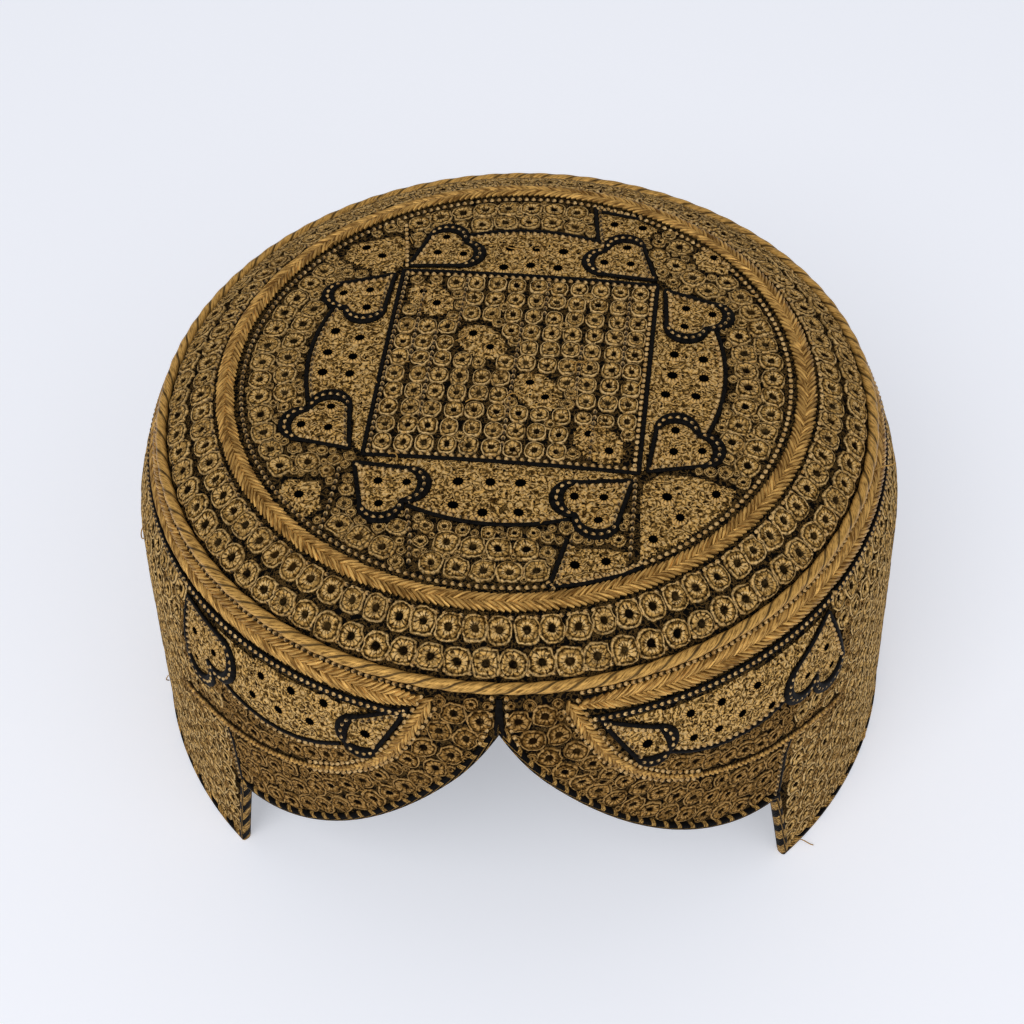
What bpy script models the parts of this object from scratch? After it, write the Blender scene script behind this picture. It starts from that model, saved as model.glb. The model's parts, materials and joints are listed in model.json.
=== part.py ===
"""Sindhi cap: a stiff round embroidered cap with a scalloped front edge.

The cap is a thin wall and a shallow crown, trimmed with gold cord and braid, with padded black
outlines laid on the cloth. Metres, +Z up. The rim lies on z = 0, the axis of the cap is Z, and the
notch of the front edge faces -Y. An azimuth is counted from -Y, positive towards +X.
"""

import math
from collections import namedtuple

import bpy
from mathutils import Vector

# Cloth and sewing
CLOTH = 0.0022
GAP = 0.0003

# Wall: the powers say how suddenly each curve sets in
RIM_RADIUS = 0.0934
SEAM_RADIUS = 0.0830
SEAM_HEIGHT = 0.0890
WALL_TAPER = 0.0031
TAPER_POWER = 1.3
SHOULDER_START = 0.0660
SHOULDER_POWER = 1.8

# Crown
RING_RADIUS = 0.0668
CROWN_RISE = 0.0123
DOME_RISE = 0.0033
DOME_POWER = 2.2
BAND_POWER = 1.7

# Front edge, with angles in degrees
NOTCH_HEIGHT = 0.0790
SCALLOP_HEIGHT = 0.0290
SCALLOP_POWER = 1.9
STEP_ANGLE = 42.0
STEP_SLANT = 3.3

# Trims
SEAM_CORD_RADIUS = 0.0015
BRAID_WIDTH = 0.0048
BRAID_HEIGHT = 0.0014
BROW_BRAID_DROP = 0.0040
BROW_BRAID_START = 12.6
BROW_BRAID_STEPS = 64
BROW_CORD_WIDTH = 0.0030
BROW_CORD_HEIGHT = 0.0012
BINDING_HEIGHT = 0.0022
BINDING_PROUD = 0.0003

# Padded black outlines
OUTLINE_WIDTH = 0.0014
OUTLINE_HEIGHT = 0.0007
LOBE_SWELL = 1.8
SQUARE_SIDE = 0.0616
SQUARE_TURN = -4.1
SQUARE_SHIFT = 0.0014
HEART_LENGTH = 0.0175
LOBE_RADIUS = 0.0046
LOBE_SPREAD = 0.0034
ARC_RADIUS = 0.0484
WALL_HEART_LENGTH = 0.0205
DROP_LENGTH = 0.0190
DROP_RADIUS = 0.0046

# Materials: colour, roughness and metallic value
Look = namedtuple("Look", "name color roughness metallic")
GOLD_WORK = Look("gold_embroidery", (0.36, 0.23, 0.08), 0.62, 0.15)
GOLD_CORD = Look("gold_cord", (0.50, 0.33, 0.11), 0.45, 0.25)
BLACK_CORD = Look("black_cord", (0.015, 0.014, 0.014), 0.60, 0.0)
STRIPED_EDGE = Look("striped_edge", (0.12, 0.085, 0.04), 0.60, 0.0)
COLLECTION = "sindhi_cap"

# Fineness of the facets
TURNS = 80
SCALLOP_STEPS = 14
STEP_STEPS = 3
RIM_STEPS = 24
LOBE_STEPS = 6
SQUARE_STEPS = 4
ARC_STEPS = 6

# Shares of the wall's height and of the crown's two zones where the facets bend
WALL_ROWS = (0.0, 0.30, 0.55, 0.72, 0.84, 0.93, 1.0)
DOME_RINGS = (0.0, 0.35, 0.65, 0.88)
BAND_RINGS = (0.0, 0.25, 0.62, 1.0)

# A mitre's cosine at its sharpest, and the width of a braid's ends as a share of its width
SHARPEST_MITRE = 0.5
TAPERED = 0.5

# Sections of the laid trims: share of the half width across, share of the height up
FLAT_SECTION = ((-1.0, 0.0), (1.0, 0.0), (0.72, 1.0), (-0.72, 1.0))
ROUND_SECTION = ((-0.8, 0.0), (0.8, 0.0), (1.0, 0.45), (0.5, 1.0), (-0.5, 1.0), (-1.0, 0.45))

# Each heart of the crown: the square's corner it starts from, the neighbouring corner it turns to,
# how far its tip lies along that side and beyond its outline as shares of the heart's length, and
# the angle in degrees between its axis and the side
CrownHeart = namedtuple("CrownHeart", "corner turn shift lift angle")
CROWN_HEARTS = (
    CrownHeart(1, -1, 0.046, 0.012, 38.0),
    CrownHeart(1, 1, 0.090, 0.012, 38.0),
    CrownHeart(2, -1, 0.085, 0.090, 44.0),
    CrownHeart(2, 1, -0.085, 0.040, 40.0),
    CrownHeart(3, -1, 0.063, 0.030, 44.0),
    CrownHeart(3, 1, 0.046, 0.012, 40.0),
    CrownHeart(0, -1, 0.080, 0.012, 40.0),
    CrownHeart(0, 1, 0.034, 0.012, 38.0),
)

# Each motif of the front wall: azimuth in degrees and height of its tip as a share of the seam's
# height, and the direction of its axis in degrees, 0 to the right and 90 up
WallMotif = namedtuple("WallMotif", "name azimuth height axis")
WALL_HEARTS = (
    WallMotif("wall_heart_left", -54.3, 0.885, -44.0),
    WallMotif("wall_heart_right", 53.6, 0.885, -116.0),
)
WALL_DROPS = (
    WallMotif("wall_drop_left", -13.8, 0.905, -143.0),
    WallMotif("wall_drop_right", 14.2, 0.905, -38.0),
)

# Routes on the wall: azimuth in degrees, height as a share of the seam's height
BROW_CORD_ROUTE = (
    (10.2, 0.950), (12.2, 0.885), (15.0, 0.800), (18.6, 0.730), (22.8, 0.675),
    (27.6, 0.632), (33.0, 0.600), (38.6, 0.575), (44.4, 0.558), (50.2, 0.540), (55.4, 0.518),
)
LENS_ROUTE = (
    (26.4, 0.742), (29.4, 0.724), (32.6, 0.714), (35.8, 0.712), (39.0, 0.718), (41.6, 0.728),
)


def wall_radius(height):
    """Outer radius of the wall: a slight taper, then the shoulder turning in to the seam."""
    taper = WALL_TAPER * (max(height, 0.0) / SEAM_HEIGHT) ** TAPER_POWER
    turn = max(0.0, (height - SHOULDER_START) / (SEAM_HEIGHT - SHOULDER_START))
    return RIM_RADIUS - taper - (RIM_RADIUS - WALL_TAPER - SEAM_RADIUS) * turn**SHOULDER_POWER


def crown_height(radius):
    """Height of the crown's outside: a shallow dome, falling faster outside the braided ring."""
    band_drop = CROWN_RISE - DOME_RISE * (SEAM_RADIUS / RING_RADIUS) ** DOME_POWER
    beyond = max(0.0, (radius - RING_RADIUS) / (SEAM_RADIUS - RING_RADIUS))
    dome = DOME_RISE * (radius / RING_RADIUS) ** DOME_POWER
    return SEAM_HEIGHT + CROWN_RISE - dome - band_drop * beyond**BAND_POWER


def slope(curve, at):
    """Rate of change of a profile curve, read over a tenth of a millimetre."""
    step = 0.0001
    return (curve(at + step / 2) - curve(at - step / 2)) / step


def crown_spot(x, y):
    """Point of the crown above plan position x, y, and its outward normal."""
    radius = math.hypot(x, y)
    fall = -slope(crown_height, radius) if radius > GAP else 0.0
    outward = Vector((x, y, 0.0)) / radius if radius > GAP else Vector()
    return Vector((x, y, crown_height(radius))), (outward * fall + Vector((0, 0, 1))).normalized()


def wall_spot(arc, height):
    """Point of the wall at a distance round the rim and a height, and its outward normal."""
    azimuth = arc / RIM_RADIUS
    outward = Vector((math.sin(azimuth), -math.cos(azimuth), 0.0))
    radius = wall_radius(height)
    normal = (outward + Vector((0, 0, -slope(wall_radius, height)))).normalized()
    if height <= 0.0:
        normal = outward
    return outward * radius + Vector((0, 0, height)), normal


def arc_of(azimuth):
    """Distance round the rim of an azimuth in degrees."""
    return RIM_RADIUS * math.radians(azimuth)


def seam_setback(curve, at):
    """How far along a profile's own axis a piece stops short of the seam cord."""
    return (SEAM_CORD_RADIUS + GAP) / math.hypot(1.0, slope(curve, at))


def front_edge():
    """Half of the lower edge, from the notch to the back, as distance round the rim and height."""
    points = []
    for i in range(SCALLOP_STEPS + 1):
        share = i / SCALLOP_STEPS
        rise = (NOTCH_HEIGHT - SCALLOP_HEIGHT) * (1.0 - share) ** SCALLOP_POWER
        points.append((arc_of(STEP_ANGLE * share), SCALLOP_HEIGHT + rise))
    for i in range(1, STEP_STEPS + 1):
        share = i / STEP_STEPS
        points.append((arc_of(STEP_ANGLE + STEP_SLANT * share), SCALLOP_HEIGHT * (1.0 - share)))
    tip = STEP_ANGLE + STEP_SLANT
    for i in range(1, RIM_STEPS + 1):
        points.append((arc_of(tip + (180.0 - tip) * i / RIM_STEPS), 0.0))
    return points


def heading(angle):
    """Flat unit vector at an angle in degrees."""
    return Vector((math.cos(math.radians(angle)), math.sin(math.radians(angle))))


def side_vectors(points, closed):
    """Left-hand side vector at each point of a flat route, lengthened at corners like a mitre."""
    vectors = []
    for i, here in enumerate(points):
        headings = []
        if closed or i > 0:
            headings.append((Vector(here) - Vector(points[i - 1])).normalized())
        if closed or i < len(points) - 1:
            headings.append((Vector(points[(i + 1) % len(points)]) - Vector(here)).normalized())
        along = sum(headings, Vector((0.0, 0.0))).normalized()
        stretch = 1.0 / max(SHARPEST_MITRE, along.dot(headings[0]))
        vectors.append(Vector((-along.y, along.x)) * stretch)
    return vectors


def edge_vectors(edge):
    """Side vectors of the half front edge, into the cloth; at the notch they meet the other half's."""
    vectors = side_vectors(edge, False)
    first = (Vector(edge[1]) - Vector(edge[0])).normalized()
    vectors[0] = Vector((0.0, 1.0 / max(SHARPEST_MITRE, first.x)))
    return vectors


def material(look):
    """Principled material of one kind of cloth or thread."""
    made = bpy.data.materials.new(look.name)
    made.use_nodes = True
    made.diffuse_color = (*look.color, 1.0)
    shader = made.node_tree.nodes["Principled BSDF"]
    shader.inputs["Base Color"].default_value = (*look.color, 1.0)
    shader.inputs["Roughness"].default_value = look.roughness
    shader.inputs["Metallic"].default_value = look.metallic


def mesh_object(name, vertices, faces, look, edges=()):
    """Object of one mesh, linked to the cap's collection and shaded smooth."""
    mesh = bpy.data.meshes.new(name)
    mesh.from_pydata(vertices, edges, faces)
    mesh.materials.append(bpy.data.materials[look.name])
    mesh.shade_smooth()
    made = bpy.data.objects.new(name, mesh)
    bpy.data.collections[COLLECTION].objects.link(made)
    return made


def turned(name, profile, closed, look):
    """Profile of radius and height turned about the cap's axis; an open profile runs outwards."""
    vertices = [(radius, 0.0, height) for radius, height in profile]
    count = len(vertices)
    edges = [(i, (i + 1) % count) for i in range(count if closed else count - 1)]
    made = mesh_object(name, vertices, [], look, edges)
    screw = made.modifiers.new("turn", "SCREW")
    screw.steps = screw.render_steps = TURNS
    screw.use_merge_vertices = True
    screw.merge_threshold = 0.00005
    screw.use_smooth_shade = True
    return made


def thicken(made, thickness):
    """Gives an open surface its wall, on the inside."""
    solidify = made.modifiers.new("cloth", "SOLIDIFY")
    solidify.thickness = thickness
    solidify.offset = -1.0
    solidify.use_even_offset = True


def mirror(made):
    """Completes a half that is open at the plane x = 0."""
    mirrored = made.modifiers.new("other half", "MIRROR")
    mirrored.use_clip = True
    mirrored.merge_threshold = 0.00005


def loft(rings, closed):
    """Faces through rings of equal numbers of points, capped at the ends of an open loft."""
    size = len(rings[0])
    faces = []
    for i in range(len(rings) if closed else len(rings) - 1):
        here, after = i * size, (i + 1) % len(rings) * size
        for j in range(size):
            k = (j + 1) % size
            faces.append((here + j, here + k, after + k, after + j))
    if not closed:
        faces.append(tuple(range(size - 1, -1, -1)))
        faces.append(tuple((len(rings) - 1) * size + j for j in range(size)))
    return [point for ring in rings for point in ring], faces


def laid_trim(name, spot, route, widths, height, section, closed, look):
    """A band laid on the cloth: its section is carried along a route on the crown or the wall."""
    vectors = side_vectors(route, closed)
    rings = []
    for (a, b), vector, width in zip(route, vectors, widths):
        ring = []
        for across, up in section:
            shift = vector * across * width / 2
            point, normal = spot(a + shift.x, b + shift.y)
            ring.append(point + normal * (GAP + up * height))
        rings.append(ring)
    return mesh_object(name, *loft(rings, closed), look)


def heart_outline(length, lobe, spread):
    """Closed flat outline of a heart with its tip at 0, 0 and its axis along +x, and its swelling.

    Two straight flanks run from the tip to two round lobes. With no spread it is a drop.
    """
    centre = Vector((length - lobe, spread))
    bearing = math.atan2(spread, length - lobe)
    opening = math.asin(lobe / centre.length)
    start = bearing + opening + math.pi / 2
    stop = -math.asin(spread / lobe)
    touch = centre + Vector((math.cos(start), math.sin(start))) * lobe
    upper = [(touch * share, 0.0) for share in (0.0, 0.3, 0.65)]
    for i in range(LOBE_STEPS + 1):
        angle = start + (stop - start) * i / LOBE_STEPS
        point = centre + Vector((math.cos(angle), math.sin(angle))) * lobe
        upper.append((point, math.sin(math.pi * (i + 1) / (LOBE_STEPS + 2))))
    lower = [(Vector((p.x, -p.y)), swell) for p, swell in reversed(upper[1:-1])]
    return upper + lower


def placed_heart(outline, tip, axis):
    """The outline's points turned to an axis in degrees and moved to a tip."""
    c, s = math.cos(math.radians(axis)), math.sin(math.radians(axis))
    return [(tip[0] + c * p.x - s * p.y, tip[1] + s * p.x + c * p.y) for p, _ in outline]


def square_corners():
    """Plan positions of the square's corners, counter-clockwise from the right-hand back one."""
    reach = SQUARE_SIDE / math.sqrt(2.0)
    angles = [math.radians(45.0 + SQUARE_TURN + 90.0 * i) for i in range(4)]
    return [Vector((reach * math.cos(a), SQUARE_SHIFT + reach * math.sin(a))) for a in angles]


def outline_widths(outline):
    """Widths of a padded outline, swelling round the lobes."""
    return [OUTLINE_WIDTH * (1.0 + (LOBE_SWELL - 1.0) * swell) for _, swell in outline]


def build_crown():
    """The domed top, from its middle to the seam."""
    edge = SEAM_RADIUS - seam_setback(crown_height, SEAM_RADIUS)
    radii = [RING_RADIUS * share for share in DOME_RINGS]
    radii += [RING_RADIUS + (edge - RING_RADIUS) * share for share in BAND_RINGS]
    profile = [(radius, crown_height(radius)) for radius in radii]
    thicken(turned("crown_top", profile, False, GOLD_WORK), CLOTH)


def build_wall():
    """The wall, from the binding to the seam, as a half with its columns along the lower edge."""
    edge = front_edge()
    top = SEAM_HEIGHT - seam_setback(wall_radius, SEAM_HEIGHT)
    vertices, faces = [], []
    for (arc, height), vector in zip(edge, edge_vectors(edge)):
        low = height + vector.y * (BINDING_HEIGHT + GAP)
        across = arc + vector.x * (BINDING_HEIGHT + GAP)
        for share in WALL_ROWS:
            vertices.append(wall_spot(across, low + (top - low) * share)[0])
    rows = len(WALL_ROWS)
    for i in range(len(edge) - 1):
        for j in range(rows - 1):
            corner = i * rows + j
            faces.append((corner, corner + rows, corner + rows + 1, corner + 1))
    wall = mesh_object("side_wall", vertices, faces, GOLD_WORK)
    mirror(wall)
    thicken(wall, CLOTH)


def build_binding():
    """The rolled edge under the wall, as a half; its underside at the rim lies flat on z = 0."""
    edge = front_edge()
    outer, inner = BINDING_PROUD, -CLOTH - BINDING_PROUD
    section = (
        (outer / 2, 0.0), (inner * 0.8, 0.0), (inner, 0.4), (inner, 1.0), (outer, 1.0), (outer, 0.4),
    )
    rings = []
    for (arc, height), vector in zip(edge, edge_vectors(edge)):
        ring = []
        for depth, up in section:
            shift = vector * up * BINDING_HEIGHT
            point, normal = wall_spot(arc + shift.x, height + shift.y)
            ring.append(point + normal * depth)
        rings.append(ring)
    vertices, faces = loft(rings, False)
    mirror(mesh_object("edge_binding", vertices, faces[:-2], STRIPED_EDGE))


def build_seam_cord():
    """The round cord that lies in the seam between crown and wall."""
    profile = []
    for i in range(8):
        angle = math.radians(90.0 - 45.0 * i)
        across, up = math.cos(angle) * SEAM_CORD_RADIUS, math.sin(angle) * SEAM_CORD_RADIUS
        profile.append((SEAM_RADIUS + across, SEAM_HEIGHT + up))
    turned("seam_cord", profile, True, GOLD_CORD)


def build_ring_braid():
    """The braid on the crown, its underside following the dome."""
    section = ((-0.5, 1.0), (0.5, 1.0), (1.0, 0.45), (0.8, 0.0), (0.0, 0.0), (-0.8, 0.0), (-1.0, 0.45))
    profile = []
    for across, up in section:
        point, normal = crown_spot(RING_RADIUS + across * BRAID_WIDTH / 2, 0.0)
        point += normal * (GAP + up * BRAID_HEIGHT)
        profile.append((point.x, point.z))
    turned("ring_braid", profile, True, GOLD_CORD)


def build_brow_braid():
    """The braid under the seam cord, open at the notch and narrowed at its two ends."""
    span = 360.0 - 2 * BROW_BRAID_START
    last = BROW_BRAID_STEPS
    height = SEAM_HEIGHT - BROW_BRAID_DROP
    route = [(arc_of(BROW_BRAID_START + span * i / last), height) for i in range(last + 1)]
    widths = [BRAID_WIDTH * (TAPERED if i in (0, last) else 1.0) for i in range(last + 1)]
    laid_trim("brow_braid", wall_spot, route, widths, BRAID_HEIGHT, ROUND_SECTION, False, GOLD_CORD)


def build_brow_cords():
    """The thin braids that drop beside the notch and follow the scallops."""
    for name, side in (("brow_cord_left", -1), ("brow_cord_right", 1)):
        route = [(side * arc_of(azimuth), SEAM_HEIGHT * share) for azimuth, share in BROW_CORD_ROUTE]
        last = len(route) - 1
        widths = [BROW_CORD_WIDTH * (TAPERED if i in (0, last) else 1.0) for i in range(last + 1)]
        laid_trim(name, wall_spot, route, widths, BROW_CORD_HEIGHT, ROUND_SECTION, False, GOLD_CORD)


def build_square():
    """The padded line round the square field."""
    corners = square_corners()
    route = []
    for i, corner in enumerate(corners):
        after = corners[(i + 1) % 4]
        route += [tuple(corner.lerp(after, k / SQUARE_STEPS)) for k in range(SQUARE_STEPS)]
    widths = [OUTLINE_WIDTH] * len(route)
    laid_trim("square_cord", crown_spot, route, widths, OUTLINE_HEIGHT, FLAT_SECTION, True, BLACK_CORD)


def crown_heart_places():
    """Tip and axis in degrees of each heart: outside the square, beside the side that it turns to."""
    corners = square_corners()
    places = []
    for heart in CROWN_HEARTS:
        corner = corners[heart.corner]
        along = (corners[(heart.corner + heart.turn) % 4] - corner).normalized()
        outward = Vector((along.y, -along.x)) * heart.turn
        off = OUTLINE_WIDTH + GAP + heart.lift * HEART_LENGTH
        axis = math.degrees(math.atan2(along.y, along.x)) - heart.turn * heart.angle
        places.append((corner + along * heart.shift * HEART_LENGTH + outward * off, axis))
    return places


def build_crown_hearts():
    """Two hearts at each corner of the square."""
    outline = heart_outline(HEART_LENGTH, LOBE_RADIUS, LOBE_SPREAD)
    for number, (tip, axis) in enumerate(crown_heart_places(), 1):
        laid_trim(
            f"heart_cord_{number}", crown_spot, placed_heart(outline, tip, axis),
            outline_widths(outline), OUTLINE_HEIGHT, FLAT_SECTION, True, BLACK_CORD,
        )


def arc_end(tip, axis, towards):
    """Angle about the square's middle, in degrees, where an arc stops short of a heart's two lobes."""
    centre = tip + heading(axis) * (HEART_LENGTH - LOBE_RADIUS) - Vector((0.0, SQUARE_SHIFT))
    away = LOBE_RADIUS + OUTLINE_WIDTH * (LOBE_SWELL + 1.0) / 2 + GAP * 2
    ends = []
    for turn in (90.0, -90.0):
        lobe = centre + heading(axis + turn) * LOBE_SPREAD
        reach = (lobe.length**2 + ARC_RADIUS**2 - away**2) / (2 * lobe.length * ARC_RADIUS)
        spread = math.degrees(math.acos(min(1.0, reach)))
        bearing = math.degrees(math.atan2(lobe.y, lobe.x))
        bearing += 360.0 * round((towards - bearing) / 360.0)
        ends.append(bearing + math.copysign(spread, towards - bearing))
    return min(ends, key=lambda end: abs(end - towards))


def build_arcs():
    """The arcs that join the lobes of neighbouring hearts, one beyond each side of the square."""
    places = crown_heart_places()
    for number in range(4):
        middle = 90.0 * (number + 1) + SQUARE_TURN
        pair = [
            place for heart, place in zip(CROWN_HEARTS, places)
            if (heart.corner, heart.turn) in ((number, 1), ((number + 1) % 4, -1))
        ]
        first, last = sorted(arc_end(tip, axis, middle) for tip, axis in pair)
        route = []
        for i in range(ARC_STEPS + 1):
            spot = heading(first + (last - first) * i / ARC_STEPS) * ARC_RADIUS
            route.append((spot.x, SQUARE_SHIFT + spot.y))
        widths = [OUTLINE_WIDTH] * len(route)
        laid_trim(
            f"arc_cord_{number + 1}", crown_spot, route, widths,
            OUTLINE_HEIGHT, FLAT_SECTION, False, BLACK_CORD,
        )


def build_wall_motifs():
    """The hearts, drops and lower lines of the two panels on the front wall."""
    scale = WALL_HEART_LENGTH / HEART_LENGTH
    heart = heart_outline(WALL_HEART_LENGTH, LOBE_RADIUS * scale * 0.92, LOBE_SPREAD * scale)
    drop = heart_outline(DROP_LENGTH, DROP_RADIUS, 0.0)
    for motifs, outline in ((WALL_HEARTS, heart), (WALL_DROPS, drop)):
        for motif in motifs:
            tip = (arc_of(motif.azimuth), SEAM_HEIGHT * motif.height)
            route = placed_heart(outline, tip, motif.axis)
            laid_trim(
                motif.name, wall_spot, route, outline_widths(outline),
                OUTLINE_HEIGHT, FLAT_SECTION, True, BLACK_CORD,
            )
    for name, side in (("lens_cord_left", -1), ("lens_cord_right", 1)):
        route = [(side * arc_of(azimuth), SEAM_HEIGHT * share) for azimuth, share in LENS_ROUTE]
        widths = [OUTLINE_WIDTH] * len(route)
        laid_trim(name, wall_spot, route, widths, OUTLINE_HEIGHT, FLAT_SECTION, False, BLACK_CORD)


def main():
    """Clears the scene and builds the cap."""
    for old in list(bpy.data.objects):
        bpy.data.objects.remove(old, do_unlink=True)
    cap = bpy.data.collections.new(COLLECTION)
    bpy.context.scene.collection.children.link(cap)
    for look in (GOLD_WORK, GOLD_CORD, BLACK_CORD, STRIPED_EDGE):
        material(look)
    build_crown()
    build_wall()
    build_binding()
    build_seam_cord()
    build_ring_braid()
    build_brow_braid()
    build_brow_cords()
    build_square()
    build_crown_hearts()
    build_arcs()
    build_wall_motifs()


main()
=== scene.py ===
"""Looks of the Sindhi cap: cloth, cords, braids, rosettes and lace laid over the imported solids.

Metres, +Z up, with the notch of the front edge towards -Y. A spot on the crown is its plan position
x, y. A spot on the wall is the distance round the rim from the notch, positive towards +X, and the
height. Both are flat charts of the cloth, so a pattern is drawn flat and then laid.
"""

import json
import logging
import math
from dataclasses import dataclass, field
from enum import Enum
from typing import Iterable, Optional, Sequence, Union

import bpy
import numpy as np
from mathutils import Matrix, Vector

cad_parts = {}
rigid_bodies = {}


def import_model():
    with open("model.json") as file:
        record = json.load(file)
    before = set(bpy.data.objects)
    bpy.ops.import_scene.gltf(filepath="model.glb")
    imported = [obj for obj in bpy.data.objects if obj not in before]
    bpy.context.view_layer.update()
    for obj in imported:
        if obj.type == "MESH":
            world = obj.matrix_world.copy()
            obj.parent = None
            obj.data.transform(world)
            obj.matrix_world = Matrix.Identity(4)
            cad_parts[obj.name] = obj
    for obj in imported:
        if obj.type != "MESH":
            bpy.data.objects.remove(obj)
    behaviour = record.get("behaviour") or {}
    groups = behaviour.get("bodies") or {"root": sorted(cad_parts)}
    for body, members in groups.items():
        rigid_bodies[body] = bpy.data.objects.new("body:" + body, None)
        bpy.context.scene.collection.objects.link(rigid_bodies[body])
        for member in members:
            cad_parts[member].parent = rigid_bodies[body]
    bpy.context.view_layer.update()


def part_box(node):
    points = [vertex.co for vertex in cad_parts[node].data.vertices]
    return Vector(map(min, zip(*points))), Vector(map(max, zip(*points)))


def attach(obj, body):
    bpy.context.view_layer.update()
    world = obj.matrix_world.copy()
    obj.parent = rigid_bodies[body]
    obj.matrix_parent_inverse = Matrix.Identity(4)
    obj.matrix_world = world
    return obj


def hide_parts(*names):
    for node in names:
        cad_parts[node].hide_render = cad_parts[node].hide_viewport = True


LOG = logging.getLogger("cap")
MM = 0.001
BODY = "root"
Colour = tuple[float, float, float]
BLACK = (0.0022, 0.0019, 0.0018)


class Zone(Enum):
    """The two sides of the seam."""

    CROWN = "crown"
    WALL = "wall"


class Slot(Enum):
    """The record's material slots."""

    EMBROIDERY = "gold_embroidery"
    GOLD_CORD = "gold_cord"
    BLACK_CORD = "black_cord"
    EDGE = "striped_edge"


def linear(red: int, green: int, blue: int) -> Colour:
    """Scene-linear colour of a display colour of 0 to 255."""
    return tuple((c / 12.92 if c <= 0.04045 else ((c + 0.055) / 1.055) ** 2.4)
                 for c in (red / 255, green / 255, blue / 255))


# Shader and geometry node maths


@dataclass(frozen=True)
class Link:
    """A node's output socket that takes part in Python expressions."""

    graph: "Graph"
    socket: bpy.types.NodeSocket

    def _math(self, operation: str, first: "Term", second: "Term") -> "Link":
        """Adds one Math node on two terms."""
        return self.graph.node("ShaderNodeMath", {"operation": operation}, {0: first, 1: second})

    def __add__(self, other: "Term") -> "Link":
        """Sum."""
        return self._math("ADD", self, other)

    def __radd__(self, other: "Term") -> "Link":
        """Sum with a number on the left."""
        return self._math("ADD", other, self)

    def __sub__(self, other: "Term") -> "Link":
        """Difference."""
        return self._math("SUBTRACT", self, other)

    def __rsub__(self, other: "Term") -> "Link":
        """Difference from a number on the left."""
        return self._math("SUBTRACT", other, self)

    def __mul__(self, other: "Term") -> "Link":
        """Product."""
        return self._math("MULTIPLY", self, other)

    def __rmul__(self, other: "Term") -> "Link":
        """Product with a number on the left."""
        return self._math("MULTIPLY", other, self)

    def __truediv__(self, other: "Term") -> "Link":
        """Quotient."""
        return self._math("DIVIDE", self, other)

    def __pow__(self, other: "Term") -> "Link":
        """Power."""
        return self._math("POWER", self, other)

    def __gt__(self, other: "Term") -> "Link":
        """Mask of where this is greater."""
        return self._math("GREATER_THAN", self, other)

    def cosine(self) -> "Link":
        """Cosine of an angle in radians."""
        return self._math("COSINE", self, 0.0)

    def absolute(self) -> "Link":
        """Size without the sign."""
        return self._math("ABSOLUTE", self, 0.0)

    def at_least(self, other: "Term") -> "Link":
        """The greater of two terms."""
        return self._math("MAXIMUM", self, other)

    def fraction(self) -> "Link":
        """Part after the decimal point."""
        return self._math("FRACT", self, 0.0)

    def smooth(self, low: "Term", high: "Term") -> "Link":
        """Eased step from 0 at low to 1 at high."""
        return self.graph.node(
            "ShaderNodeMapRange", {"interpolation_type": "SMOOTHSTEP"}, {0: self, 1: low, 2: high}
        )

    def part(self, name: str) -> "Link":
        """Another output of the same node."""
        return Link(self.graph, self.socket.node.outputs[name])


Term = Union[Link, float]


class Graph:
    """Adds nodes to one shader or geometry node tree."""

    def __init__(self, tree: bpy.types.NodeTree) -> None:
        """Keeps the tree."""
        self.tree = tree

    def node(
        self,
        kind: str,
        settings: Optional[dict] = None,
        sockets: Optional[dict] = None,
        output: int = 0,
    ) -> Optional[Link]:
        """Adds one node.

        Args:
            kind: The node's type.
            settings: Its properties, set before its sockets; "stops" are a ramp's colours.
            sockets: Values or links by the name or number of an input.
            output: Number of the output that is returned.

        Returns:
            The chosen output, or None for a node that has none.
        """
        made = self.tree.nodes.new(kind)
        for name, value in (settings or {}).items():
            if name == "stops":
                ramp = made.color_ramp
                while len(ramp.elements) < len(value):
                    ramp.elements.new(1.0)
                for stop, (place, colour) in zip(ramp.elements, value):
                    stop.position = place
                    stop.color = (*colour, 1.0)
            else:
                setattr(made, name, value)
        for key, value in (sockets or {}).items():
            if isinstance(value, Link):
                self.tree.links.new(value.socket, made.inputs[key])
            else:
                made.inputs[key].default_value = value
        return Link(self, made.outputs[output]) if len(made.outputs) else None

    def attribute(self, name: str) -> Link:
        """Value of a piece's own attribute, in a shader."""
        return self.node("ShaderNodeAttribute", {"attribute_name": name}, output=2)

    def stored(self, name: str, kind: str = "FLOAT") -> Link:
        """Value of a mesh attribute, in geometry nodes."""
        return self.node("GeometryNodeInputNamedAttribute", {"data_type": kind}, {"Name": name})

    def vector(self, operation: str, *terms: Union[Link, tuple], output: int = 0) -> Link:
        """Vector Math on the terms."""
        return self.node(
            "ShaderNodeVectorMath", {"operation": operation}, dict(enumerate(terms)), output
        )

    def scaled(self, vector: Link, factor: Term) -> Link:
        """A vector made longer by a factor."""
        return self.node("ShaderNodeVectorMath", {"operation": "SCALE"}, {0: vector, "Scale": factor})

    def stretched(self, vector: Link, scale: Sequence[float]) -> Link:
        """A vector with each axis scaled."""
        return self.vector("MULTIPLY", vector, tuple(scale))

    def mixed(self, share: Term, first: Union[Link, Colour], second: Union[Link, Colour]) -> Link:
        """Colour between two colours."""
        ends = [c if isinstance(c, Link) else (*c, 1.0) for c in (first, second)]
        return self.node(
            "ShaderNodeMix", {"data_type": "RGBA", "clamp_factor": True},
            {0: share, 6: ends[0], 7: ends[1]}, 2,
        )

    def noise(self, vector: Link, scale: float, detail: float = 2.0, rough: float = 0.5) -> Link:
        """Noise of 0 to 1."""
        return self.node(
            "ShaderNodeTexNoise", {}, {"Vector": vector, "Scale": scale, "Detail": detail,
                                       "Roughness": rough},
        )


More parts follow.
